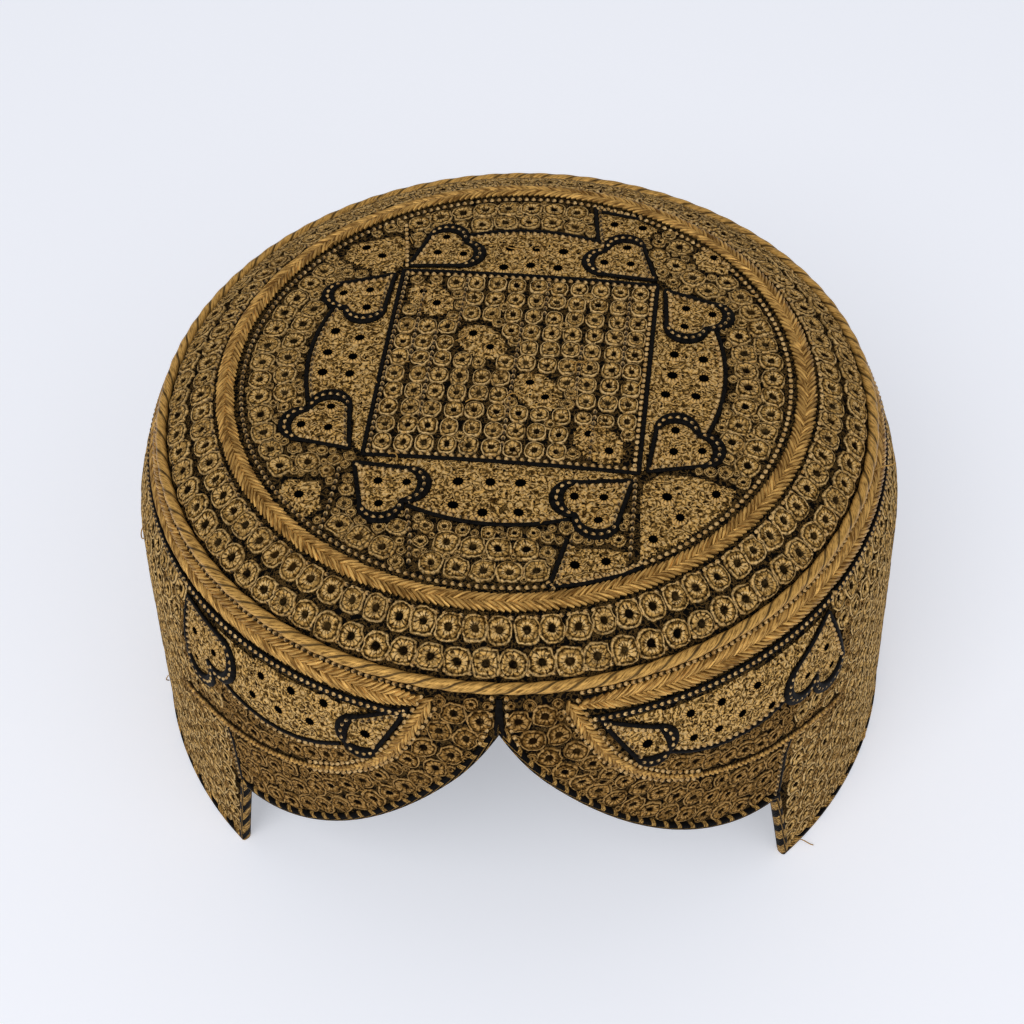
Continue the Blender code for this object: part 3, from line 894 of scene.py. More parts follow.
    def on_square(self, x: np.ndarray, y: np.ndarray) -> np.ndarray:
        """Crown spots of positions in the square's own columns and rows, counted from its middle."""
        across = x * (self.square_side - 2.6 * MM) / self.square_columns
        up = y * (self.square_side - 2.6 * MM) / self.square_rows
        c, s = math.cos(math.radians(self.square_turn)), math.sin(math.radians(self.square_turn))
        return np.column_stack([c * across - s * up, s * across + c * up + self.square_shift])

    def column_lines(self) -> list[np.ndarray]:
        """Seed lines between the columns of the square."""
        return [self.on_square(np.array([x, x]), np.array(ends)) for x, *ends in self.square_lines]

    def wall_motifs(self) -> list[np.ndarray]:
        """Outlines of the hearts and drops of the wall."""
        scale = self.wall_heart_length / self.heart_length
        shape = heart(self.wall_heart_length, self.lobe_radius * scale, self.lobe_spread * scale * 1.35)
        drop = heart(self.drop_length, self.lobe_radius, 0.0)
        made = []
        for table, outline in ((self.wall_hearts, shape), (self.wall_drops, drop)):
            for azimuth, height, axis in table:
                tip = (self.surface.arc(azimuth), self.surface.seam_height * height)
                made.append(turned(outline, tip, axis))
        return made

    def lens_panels(self) -> list[np.ndarray]:
        """The lace panels between the brow braid and the lens lines."""
        top = ((14.2, 0.903), (30.0, 0.893), (53.0, 0.888), (49.0, 0.800), (43.4, 0.742))
        bottom = tuple(reversed(self.lens_line[:-1]))
        return [self.mirrored(top + bottom + ((18.0, 0.840),), side) for side in (-1, 1)]

    def arc_panels(self) -> list[np.ndarray]:
        """The lace panels between the arcs and the square."""
        return [
            np.vstack([arc, self.corners[(n + 1) % 4], self.corners[n]]) for n, arc in enumerate(self.arcs)
        ]

    def diamonds(self) -> list[np.ndarray]:
        """The lace patches on the square's diagonal, one round each pair of eyelets."""
        spots = np.array(self.square_eyelets) * MM
        made = []
        for first, second in zip(spots[::2], spots[1::2]):
            along = (second - first) / np.linalg.norm(second - first)
            across = np.array([-along[1], along[0]])
            middle = (first + second) / 2
            angles = np.linspace(0.0, 2 * math.pi, 12, endpoint=False)
            made.append(np.array([
                middle + along * 7.2 * MM * math.cos(a) + across * 5.2 * MM * math.sin(a) for a in angles
            ]))
        return made

    def eyelets(self, zone: Zone) -> tuple[np.ndarray, np.ndarray]:
        """Chart spots and radii of the worked eyelets."""
        if zone is Zone.WALL:
            spots = [(self.surface.arc(a), h * MM) for a, h in self.wall_eyelets]
            radii = [1.75 * MM] * len(spots)
            for outline, motif in zip(self.wall_motifs(), self.wall_hearts + self.wall_drops):
                lobed = motif in self.wall_hearts
                for x, y in (((0.40, 0.0), (0.69, 0.25), (0.69, -0.25)) if lobed else ((0.66, 0.0),)):
                    length = self.wall_heart_length if lobed else self.drop_length
                    spot = turned(np.array([[x * length, y * length, 0.0]]), outline[0], motif[2])[0]
                    spots.append((spot[0], spot[1]))
                    radii.append(1.55 * MM if lobed else 2.0 * MM)
            return np.array(spots), np.array(radii)
        spots = [np.array(self.square_eyelets), np.array(self.panel_eyelets), np.array(self.corner_eyelets)]
        sizes = [np.full(len(group), size) for group, size in zip(spots, (1.65, 1.95, 1.8))]
        for tip, axis in self.places:
            inner = np.array([(0.47, 0.0, 0.0), (0.75, 0.235, 0.0), (0.75, -0.235, 0.0)])
            inner[:, :2] *= self.heart_length
            spots.append(turned(inner, tip, axis)[:, :2] / MM)
            sizes.append(np.full(3, 1.7))
        return np.vstack(spots) * MM, np.concatenate(sizes) * MM


# Meshes from points, laid by geometry nodes


@dataclass
class Beads:
    """Points that carry a shape each: place, directions, size, which shape and a tint."""

    laid: Laid
    along: np.ndarray
    size: np.ndarray
    kind: np.ndarray
    tint: np.ndarray

    @classmethod
    def on(
        cls, surface: CapSurface, zone: Zone, flat: np.ndarray, size: np.ndarray, seed: int,
        heading: Optional[np.ndarray] = None, lift: Union[float, np.ndarray] = 0.0, kinds: int = 1,
    ) -> "Beads":
        """Beads on chart spots.

        Args:
            surface: The cloth.
            zone: The chart.
            flat: Chart spots.
            size: Half sizes along, across and off the cloth, one row or one for each.
            seed: Seed of the tints and shapes.
            heading: Chart direction of each shape's first axis; the chart's first where not given.
            lift: Distance off the cloth.
            kinds: Number of shapes to choose from.

        Returns:
            The beads.
        """
        laid = surface.lay(zone, flat, lift)
        along = laid.first
        if heading is not None:
            along = unit(laid.first * heading[:, :1] + laid.second * heading[:, 1:2])
        random = np.random.default_rng(seed)
        count = len(flat)
        return cls(
            laid, along, np.broadcast_to(np.atleast_2d(size), (count, 3)),
            random.integers(0, kinds, count), random.random(count),
        )

    def mesh(self, name: str) -> bpy.types.Mesh:
        """A mesh of loose points with the attributes that the laying tree reads."""
        return attributed(
            name, self.laid.points, [],
            {"normal": self.laid.normals, "along_axis": self.along, "extent": self.size,
             "kind": self.kind, "tint": self.tint},
        )


def attributed(
    name: str, points: np.ndarray, edges: list[tuple[int, int]], values: dict[str, np.ndarray]
) -> bpy.types.Mesh:
    """A mesh of points and edges with point attributes.

    Args:
        name: The mesh's name.
        points: Its points.
        edges: Its edges.
        values: Arrays by attribute name; three columns make a vector, whole numbers an integer.

    Returns:
        The mesh.
    """
    mesh = bpy.data.meshes.new(name)
    mesh.from_pydata(points.tolist(), edges, [])
    for key, value in values.items():
        value = np.asarray(value)
        if value.ndim == 2:
            made = mesh.attributes.new(key, "FLOAT_VECTOR", "POINT")
            made.data.foreach_set("vector", value.astype(np.float32).ravel())
        elif value.dtype.kind == "i":
            made = mesh.attributes.new(key, "INT", "POINT")
            made.data.foreach_set("value", value.astype(np.int32))
        else:
            made = mesh.attributes.new(key, "FLOAT", "POINT")
            made.data.foreach_set("value", value.astype(np.float32))
    return mesh


class Tree:
    """A geometry node tree with named inputs, and how a mesh is put through it."""

    def __init__(self, name: str) -> None:
        """Makes the tree with its geometry sockets."""
        self.tree = bpy.data.node_groups.new(name, "GeometryNodeTree")
        self.identifiers: dict[str, str] = {}
        self.graph = Graph(self.tree)
        self.tree.interface.new_socket("Geometry", in_out="OUTPUT", socket_type="NodeSocketGeometry")
        self.tree.interface.new_socket("Geometry", in_out="INPUT", socket_type="NodeSocketGeometry")
        self.entry = self.tree.nodes.new("NodeGroupInput")

    def input(self, name: str, kind: str) -> Link:
        """Adds a named input of a kind such as Float."""
        made = self.tree.interface.new_socket(name, in_out="INPUT", socket_type="NodeSocket" + kind)
        self.identifiers[name] = made.identifier
        return Link(self.graph, self.entry.outputs[name])

    def close(self, geometry: Link, finish: Link) -> None:
        """Ends the tree in Realize Instances and Set Material."""
        real = self.graph.node("GeometryNodeRealizeInstances", {}, {0: geometry})
        dressed = self.graph.node("GeometryNodeSetMaterial", {}, {"Geometry": real, "Material": finish})
        self.graph.node("NodeGroupOutput", {}, {0: dressed})

    def run(self, name: str, mesh: bpy.types.Mesh, **values: object) -> bpy.types.Object:
        """Puts a mesh through the tree.

        Args:
            name: Name of the piece that is made.
            mesh: The points that the tree works on.
            values: The tree's inputs, by name with an underscore for a space.

        Returns:
            The plain mesh that comes out, as an object.
        """
        carrier = bpy.data.objects.new("carrier", mesh)
        bpy.context.scene.collection.objects.link(carrier)
        modifier = carrier.modifiers.new("lay", "NODES")
        modifier.node_group = self.tree
        for key, value in values.items():
            modifier[self.identifiers[key.replace("_", " ")]] = value
        graph = bpy.context.evaluated_depsgraph_get()
        made = bpy.data.meshes.new_from_object(
            carrier.evaluated_get(graph), preserve_all_data_layers=True, depsgraph=graph
        )
        bpy.data.objects.remove(carrier)
        for key in ("normal", "along_axis", "extent", "kind", "spot", "side", "half", "swell", "material_index"):
            if key in made.attributes:
                made.attributes.remove(made.attributes[key])
        made.materials.clear()
        made.materials.append(values["Finish"])
        made.name = name
        piece = bpy.data.objects.new(name, made)
        bpy.context.scene.collection.objects.link(piece)
        return piece


class LayingTree(Tree):
    """Lays one of several shapes on every point, turned to the cloth."""

    def __init__(self) -> None:
        """Builds the tree."""
        super().__init__("laid shapes")
        g = self.graph
        shapes = self.input("Shapes", "Collection")
        wander = self.input("Wander", "Float")
        seed = self.input("Seed", "Int")
        finish = self.input("Finish", "Material")
        picked = g.node(
            "GeometryNodeCollectionInfo", {}, {"Collection": shapes, "Separate Children": True,
                                               "Reset Children": True},
        )
        facing = g.node(
            "FunctionNodeAxesToRotation", {"primary_axis": "Z", "secondary_axis": "X"},
            {0: g.stored("normal", "FLOAT_VECTOR"), 1: g.stored("along_axis", "FLOAT_VECTOR")},
        )
        turn = g.node("FunctionNodeRandomValue", {"data_type": "FLOAT"}, {2: 0.0 - wander, 3: wander,
                                                                       8: seed}, 1)
        spin = g.node("FunctionNodeEulerToRotation", {}, {0: g.node("ShaderNodeCombineXYZ", {}, {2: turn})})
        rotation = g.node("FunctionNodeRotateRotation", {"rotation_space": "LOCAL"}, {0: facing, 1: spin})
        placed = g.node(
            "GeometryNodeInstanceOnPoints", {},
            {"Points": Link(g, self.entry.outputs["Geometry"]), "Instance": picked, "Pick Instance": True,
             "Instance Index": g.stored("kind", "INT"), "Rotation": rotation,
             "Scale": g.stored("extent", "FLOAT_VECTOR")},
        )
        self.close(placed, finish)

    def lay(
        self, name: str, beads: Beads, shapes: Sequence[bpy.types.Mesh], finish: bpy.types.Material,
        wander: float = 0.0, seed: int = 1,
    ) -> bpy.types.Object:
        """Lays the shapes on the beads and returns the piece."""
        group = bpy.data.collections.new("shapes")
        for number, shape in enumerate(shapes):
            group.objects.link(bpy.data.objects.new(f"shape_{number}", shape))
        piece = self.run(name, beads.mesh(name), Shapes=group, Wander=wander, Seed=seed, Finish=finish)
        for shape in list(group.objects):
            bpy.data.objects.remove(shape)
        bpy.data.collections.remove(group)
        return piece


class CordTree(Tree):
    """Sweeps a cord along routes on the cloth, flattened on it and lobed like laid strands."""

    def __init__(self) -> None:
        """Builds the tree."""
        super().__init__("laid cord")
        g = self.graph
        sides = self.input("Sides", "Int")
        flatness = self.input("Flatness", "Float")
        strands = self.input("Strands", "Float")
        ridge = self.input("Ridge", "Float")
        twist = self.input("Twist", "Float")
        groove = self.input("Groove", "Float")
        finish = self.input("Finish", "Material")
        spot = g.node("GeometryNodeInputPosition")
        kept = g.node(
            "GeometryNodeStoreNamedAttribute", {"data_type": "FLOAT_VECTOR", "domain": "POINT"},
            {"Geometry": Link(g, self.entry.outputs["Geometry"]), "Name": "spot", "Value": spot},
        )
        curve = g.node("GeometryNodeMeshToCurve", {}, {0: kept})
        circle = g.node("GeometryNodeCurvePrimitiveCircle", {}, {"Resolution": sides, "Radius": 1.0})
        tube = g.node(
            "GeometryNodeCurveToMesh", {},
            {"Curve": curve, "Profile Curve": circle, "Scale": g.stored("half"), "Fill Caps": True},
        )
        normal, side = g.stored("normal", "FLOAT_VECTOR"), g.stored("side", "FLOAT_VECTOR")
        half, along = g.stored("half"), g.stored("along")
        centre = g.stored("spot", "FLOAT_VECTOR")
        off = g.vector("SUBTRACT", g.node("GeometryNodeInputPosition"), centre)
        across = g.vector("DOT_PRODUCT", off, side, output=1) / half
        up = g.vector("DOT_PRODUCT", off, normal, output=1) / half
        angle = g.node("ShaderNodeMath", {"operation": "ARCTAN2"}, {0: up, 1: across})
        bulge = (angle * strands + along * twist).cosine() * ridge + 1.0
        dip = 1.0 - (1.0 - across.absolute() / 0.42).at_least(0.0) * (g.stored("swell") * groove)
        moved = g.vector(
            "ADD", centre,
            g.vector(
                "ADD", g.scaled(side, across * bulge * half), g.scaled(normal, up * bulge * dip * half * flatness)
            ),
        )
        marked = g.node(
            "GeometryNodeStoreNamedAttribute", {"data_type": "FLOAT", "domain": "POINT"},
            {"Geometry": tube, "Name": "around", "Value": angle / (2 * math.pi)},
        )
        shaped = g.node("GeometryNodeSetPosition", {}, {"Geometry": marked, "Position": moved})
        smooth = g.node("GeometryNodeSetShadeSmooth", {}, {0: shaped})
        self.close(smooth, finish)

    def lay(
        self, name: str, surface: CapSurface, routes: Sequence[Route], finish: bpy.types.Material,
        width: float, lift: float, step: float = 0.9 * MM, swelling: float = 0.0, sides: int = 10,
        flatness: float = 0.7, strands: float = 0.0, ridge: float = 0.0, twist: float = 0.0,
        groove: float = 0.0,
    ) -> bpy.types.Object:
        """Lays cords.

        Args:
            name: Name of the piece.
            surface: The cloth.
            routes: Where the cords run.
            finish: Their material.
            width: Width of the plain cord.
            lift: Height of its middle off the cloth.
            step: Distance between the rings of its mesh.
            swelling: Extra width at full swell.
            sides: Points in a ring.
            flatness: Height as a share of the width.
            strands: Number of strands in the section.
            ridge: Depth of the strands as a share of the half width.
            twist: Turns of the strands' pattern, in radians a metre.
            groove: Depth of the middle groove at full swell.

        Returns:
            The piece.
        """
        points, edges, values = [], [], {"normal": [], "side": [], "half": [], "swell": [], "along": []}
        for route in routes:
            raised = np.column_stack([route.points[:, :2], route.swell, route.rise])
            even = resampled(raised, step, route.closed)
            side = sideways(even, route.closed)
            laid = surface.lay(route.zone, even[:, :2], lift + even[:, 3])
            first = sum(len(p) for p in points)
            count = len(even)
            edges += [(first + i, first + i + 1) for i in range(count - 1)]
            if route.closed:
                edges.append((first + count - 1, first))
            points.append(laid.points)
            values["normal"].append(laid.normals)
            values["side"].append(unit(laid.first * side[:, :1] + laid.second * side[:, 1:]))
            values["half"].append((width + swelling * even[:, 2]) / 2)
            values["swell"].append(even[:, 2])
            values["along"].append(np.arange(count) * np.linalg.norm(even[1, :2] - even[0, :2]))
        joined = {key: np.concatenate(value) for key, value in values.items()}
        mesh = attributed(name, np.vstack(points), edges, joined)
        return self.run(
            name, mesh, Sides=sides, Flatness=flatness, Strands=strands, Ridge=ridge, Twist=twist,
            Groove=groove, Finish=finish,
        )


class Shapes:
    """Small meshes that are laid by the hundred, each about one unit in half size."""

    @staticmethod
    def rings(
        name: str, rows: Sequence[tuple[float, float]], segments: int, square: float = 2.0,
        ragged: float = 0.0, seed: int = 1,
    ) -> bpy.types.Mesh:
        """A raised disc of rings.

        Args:
            name: The mesh's name.
            rows: Radius and height of each ring, from the middle outwards.
            segments: Points in a ring.
            square: Power of the outline: 2 is round, more is squarer.
            ragged: How unevenly the outline runs, as a share of the radius.
            seed: Seed of the unevenness.

        Returns:
            A mesh whose map holds the turn and the radius.
        """
        random = np.random.default_rng(seed)
        uneven = 1.0 + ragged * random.standard_normal(segments)
        vertices, faces, maps = [], [], []
        for radius, height in rows:
            for i in range(segments):
                angle = 2 * math.pi * i / segments
                c, s = math.cos(angle), math.sin(angle)
                power = 2.0 + (square - 2.0) * radius
                reach = (abs(c) ** power + abs(s) ** power) ** (-1.0 / power)
                reach *= radius * (1.0 + (uneven[i] - 1.0) * radius)
                vertices.append((c * reach, s * reach, height))
        for row in range(len(rows) - 1):
            for i in range(segments):
                k = (i + 1) % segments
                faces.append((row * segments + i, (row + 1) * segments + i, (row + 1) * segments + k,
                              row * segments + k))
                low, high = rows[row][0], rows[row + 1][0]
                maps += [(i / segments, low), (i / segments, high), ((i + 1) / segments, high),
                         ((i + 1) / segments, low)]
        if rows[0][0] < 0.62:
            faces.append(tuple(range(segments)))
            maps += [(i / segments, rows[0][0]) for i in range(segments)]
        return Shapes.mapped(name, vertices, faces, maps)

    @staticmethod
    def mapped(
        name: str, vertices: list, faces: list, maps: Sequence[tuple[float, float]]
    ) -> bpy.types.Mesh:
        """A smooth mesh with a map value for each corner."""
        mesh = bpy.data.meshes.new(name)
        mesh.from_pydata(vertices, [], faces)
        layer = mesh.uv_layers.new(name="UVMap")
        layer.data.foreach_set("uv", np.array(maps, np.float32).ravel())
        mesh.shade_smooth()
        return mesh

    @staticmethod
    def stitch(name: str, rows: int = 5, sides: int = 5, curl: float = 0.0) -> bpy.types.Mesh:
        """A laid stitch along x: half a spindle, pinched where it enters the cloth."""
        vertices, faces, maps = [], [], []
        for row in range(rows + 1):
            share = row / rows
            body = math.sin(math.pi * (0.10 + 0.80 * share)) ** 0.55
            for i in range(sides + 1):
                angle = math.pi * i / sides
                vertices.append((
                    2.0 * share - 1.0, math.cos(angle) * body + curl * (2.0 * share - 1.0) ** 2,
                    math.sin(angle) * body - 0.1,
                ))
        width = sides + 1
        for row in range(rows):
            for i in range(sides):
                a = row * width + i
                faces.append((a, a + width, a + width + 1, a + 1))
                maps += [(i / sides, row / rows), (i / sides, (row + 1) / rows),
                         ((i + 1) / sides, (row + 1) / rows), ((i + 1) / sides, row / rows)]
        return Shapes.mapped(name, vertices, faces, maps)


def dress(piece: bpy.types.Object, slot: Slot, *nodes: str) -> bpy.types.Object:
    """Seats a finished piece on the cap and hides the solids that it stands for."""
    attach(piece, BODY)
    if nodes:
        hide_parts(*nodes)
    piece.data.calc_loop_triangles()
    LOG.info("%s: %d triangles", piece.name, len(piece.data.loop_triangles))
    return piece


def plain(
    name: str, points: np.ndarray, faces: list, finish: bpy.types.Material,
    maps: Optional[np.ndarray] = None,
) -> bpy.types.Object:
    """An object of one smooth mesh, with a map value for each point where given."""
    mesh = bpy.data.meshes.new(name)
    mesh.from_pydata(points.tolist(), [], faces)
    if maps is not None:
        corners = np.zeros(len(mesh.loops), np.int32)
        mesh.loops.foreach_get("vertex_index", corners)
        mesh.uv_layers.new(name="UVMap").data.foreach_set("uv", maps[corners].astype(np.float32).ravel())
    mesh.shade_smooth()
    mesh.materials.append(finish)
    made = bpy.data.objects.new(name, mesh)
    bpy.context.scene.collection.objects.link(made)
    return made


def grid_faces(rows: int, columns: int, wrap: bool) -> list[tuple[int, int, int, int]]:
    """Quads of a grid whose points run along the rows; wrap joins the last row to the first."""
    faces = []
    for i in range(rows if wrap else rows - 1):
        here, after = i * columns, (i + 1) % rows * columns
        faces += [(here + j, after + j, after + j + 1, here + j + 1) for j in range(columns - 1)]
    return faces


# The sub-assemblies


@dataclass
class Cloth:
    """The black cotton body: crown and wall, each a closed shell."""

    surface: CapSurface
    columns: int = 288
    crown_rings: int = 26
    wall_rows: int = 20
    seam_gap: float = 0.3 * MM

    def crown(self, finish: bpy.types.Material) -> bpy.types.Object:
        """The domed top."""
        s = self.surface
        radii = np.linspace(0.0, s.seam_radius - self.seam_gap, self.crown_rings)[1:]
        turns = np.linspace(0.0, 2 * math.pi, self.columns, endpoint=False)
        sheets = []
        for lift, order in ((0.0, radii), (s.ground - s.cloth, radii[::-1])):
            for radius in order:
                flat = np.column_stack([radius * np.cos(turns), radius * np.sin(turns)])
                sheets.append(s.lay(Zone.CROWN, flat, lift).points)
        rings = len(sheets)
        tops = [[0.0, 0.0, s.seam_height + s.crown_rise - d] for d in (s.ground, s.cloth)]
        points = np.vstack(sheets + [tops])
        faces = []
        for i in range(rings - 1):
            for j in range(self.columns):
                k = (j + 1) % self.columns
                faces.append((i * self.columns + j, (i + 1) * self.columns + j,
                              (i + 1) * self.columns + k, i * self.columns + k))
        first, last = rings * self.columns, rings * self.columns + 1
        for j in range(self.columns):
            k = (j + 1) % self.columns
            faces.append((first, j, k))
            faces.append((last, (rings - 1) * self.columns + k, (rings - 1) * self.columns + j))
        return dress(plain("crown_cloth", points, faces, finish), Slot.EMBROIDERY, "crown_top")

    def wall(self, finish: bpy.types.Material) -> bpy.types.Object:
        """The wall, from the whipped edge to the seam."""
        s = self.surface
        edge = s.edge_route(1.6 * MM)
        share = np.linspace(0.0, 1.0, self.wall_rows)
        top = s.seam_height - self.seam_gap
        loops = []
        for arc, height in edge[:-1]:
            heights = height + 1.0 * MM + (top - height - 1.0 * MM) * share
            flat = np.column_stack([np.full(len(share), arc), heights])
            outer = s.lay(Zone.WALL, flat).points
            inner = s.lay(Zone.WALL, flat[::-1], s.ground - s.cloth).points
            loops.append(np.vstack([outer, inner]))
        count = len(loops[0])
        faces = []
        for i in range(len(loops)):
            here, after = i * count, (i + 1) % len(loops) * count
            for j in range(count):
                k = (j + 1) % count
                faces.append((here + j, after + j, after + k, here + k))
        return dress(plain("wall_cloth", np.vstack(loops), faces, finish), Slot.EMBROIDERY, "side_wall")

    def build(self, finish: bpy.types.Material) -> None:
        """Makes both shells."""
        self.crown(finish)
        self.wall(finish)


@dataclass
class WhippedEdge:
    """The whipped lower edge, over both faces of the wall."""

    surface: CapSurface
    height: float = 2.2 * MM
    proud: float = 0.2 * MM
    step: float = 1.0 * MM
    turns: int = 14
    flap_gilt: float = 0.36
    side_gilt: float = 0.57

    def build(self, finish: bpy.types.Material) -> None:
        """Sweeps a rounded section along the lower edge."""
        s = self.surface
        edge = s.edge_route(self.step)[:-1]
        side = sideways(edge, False)
        side[0] = (0.0, 1.0)
        half = s.cloth / 2 + self.proud
        loops, maps, gilt, run = [], [], [], 0.0
        for number, (spot, inward) in enumerate(zip(edge, side)):
            stretch = 1.0 if number else 1.6
            flap = min(spot[0], s.arc(360.0) - spot[0]) < s.arc(s.step_angle)
            run += self.step / MM * (1.9 if flap else 1.0)
            gilt += [self.flap_gilt if flap else self.side_gilt] * self.turns
            for i in range(self.turns):
                angle = 2 * math.pi * i / self.turns
                c, d = math.cos(angle), math.sin(angle)
                up = (0.5 + 0.5 * math.copysign(abs(d) ** 0.7, d)) * self.height * stretch
                out = math.copysign(abs(c) ** 0.7, c) * half - s.cloth / 2 + s.ground
                flat = np.array([spot + inward * up])
                laid = s.lay(Zone.WALL, flat, out)
                loops.append(laid.points[0])
                maps.append((run, i / self.turns))
        count = len(edge)
        faces = []
        for i in range(count):
            here, after = i * self.turns, (i + 1) % count * self.turns
            for j in range(self.turns):
                k = (j + 1) % self.turns
                faces.append((here + j, here + k, after + k, after + j))
        piece = plain("whipped_edge", np.array(loops), faces, finish, np.array(maps))
        piece.data.attributes.new("gilt", "FLOAT", "POINT").data.foreach_set("value", gilt)
        dress(piece, Slot.EDGE, "edge_binding")


@dataclass
class Braids:
    """Herringbone braids and the round seam cord."""

    surface: CapSurface
    laying: LayingTree
    cords: CordTree
    ring_width: float = 4.3 * MM
    brow_width: float = 4.3 * MM
    braid_height: float = 1.2 * MM
    stitch_pitch: float = 1.40 * MM
    slope: float = 33.0
    seam_cord: float = 2.5 * MM
    brow_drop: float = 4.2 * MM
    brow_start: float = 12.0
    seam_furrow: float = 6.4 * MM

    def herringbone(self, route: Route, half: np.ndarray, pitch: float, height: float, seed: int) -> Beads:
        """Two rows of slanting stitches that meet on a route.

        Args:
            route: The middle line, in even steps of the pitch.
            half: Half width of the braid at each of its points.
            pitch: Distance between stitches.
            height: Height of the stitches.
            seed: Seed of their tints.

        Returns:
            The stitches as beads.
        """
        side = sideways(route.points, route.closed)
        along = np.column_stack([side[:, 1], -side[:, 0]])
        random = np.random.default_rng(seed)
        flats, headings, sizes = [], [], []
        for sign in (-1, 1):
            angle = math.radians(self.slope) + random.normal(0.0, 0.05, len(side))
            direction = along * np.cos(angle)[:, None] + side * (sign * np.sin(angle))[:, None]
            middle = route.points[:, :2] + side * (sign * half * 0.47)[:, None] + along * (sign * pitch * 0.25)
            length = half * 0.60 / math.sin(math.radians(self.slope)) * random.normal(1.0, 0.04, len(side))
            thick = np.full(len(side), pitch * 0.40) * random.normal(1.0, 0.08, len(side))
            flats.append(middle)
            headings.append(direction)
            sizes.append(np.column_stack([length, thick, np.full(len(side), height)]))
        return Beads.on(
            self.surface, route.zone, np.vstack(flats), np.vstack(sizes), seed, np.vstack(headings),
            lift=0.25 * MM,
        )

    def braid(
        self, name: str, route: Route, half: np.ndarray, pitch: float, height: float,
        finish: bpy.types.Material, seed: int, *nodes: str,
    ) -> None:
        """Lays one braid."""
        beads = self.herringbone(route, half, pitch, height, seed)
        piece = self.laying.lay(name, beads, [Shapes.stitch("braid_stitch", 6, 6)], finish)
        dress(piece, Slot.GOLD_CORD, *nodes)

    def build(
        self, drawing: Drawing, thread: bpy.types.Material, rope: bpy.types.Material,
        under: bpy.types.Material,
    ) -> None:
        """Makes the ring braid, the brow braid, the brow cords and the seam cord."""
        s = self.surface
        turns = np.linspace(0.5 * math.pi, 2.5 * math.pi, 400, endpoint=False)
        ring = np.column_stack([np.cos(turns), np.sin(turns)]) * s.ring_radius
        ring = Route(Zone.CROWN, resampled(ring, self.stitch_pitch, True), True)
        half = np.full(len(ring.points), self.ring_width / 2 * 0.94)
        self.braid("ring_braid_stitches", ring, half, self.stitch_pitch, self.braid_height, thread, 11,
                   "ring_braid")
        azimuths = np.linspace(self.brow_start, 360.0 - self.brow_start, 300)
        brow = np.column_stack([s.arc(azimuths), np.full(300, s.seam_height - self.brow_drop)])
        brow = Route(Zone.WALL, resampled(brow, self.stitch_pitch * 1.04, False), False)
        ends = np.minimum(np.arange(len(brow.points)), np.arange(len(brow.points))[::-1])
        half = self.brow_width / 2 * (0.42 + 0.58 * np.clip(ends / 6.0, 0.0, 1.0))
        self.braid("brow_braid_stitches", brow, half, self.stitch_pitch, self.braid_height, thread, 12,
                   "brow_braid")
        for side, word in ((-1, "left"), (1, "right")):
            path = resampled(drawing.mirrored(drawing.brow_cord, side), 1.35 * MM, False)
            taper = np.linspace(1.0, 0.0, len(path))
            half = 0.50 * MM + 0.95 * MM * np.clip((taper - 0.62) / 0.30, 0.0, 1.0)
            self.braid(f"brow_cord_{word}_stitches", Route(Zone.WALL, path, False), half, 1.35 * MM,
                       0.95 * MM, thread, 13, f"brow_cord_{word}")
        under_routes = [ring, brow]
        dress(
            self.cords.lay("braid_underlay", s, under_routes, under, self.ring_width * 0.85, 0.1 * MM,
                           step=2.0 * MM, sides=8, flatness=0.22),
            Slot.BLACK_CORD,
        )
        seam = np.column_stack([np.cos(turns), np.sin(turns)]) * s.seam_radius
        seam_route = Route(Zone.CROWN, seam, True)
        length = 2 * math.pi * s.seam_radius
        dress(
            self.cords.lay("seam_cord_laid", s, [seam_route], rope, self.seam_cord, s.ground, step=1.0 * MM,
                           sides=24, flatness=1.0, strands=2.0, ridge=0.07,
                           twist=2 * math.pi * round(length / self.seam_furrow) / length),
            Slot.GOLD_CORD, "seam_cord",
        )


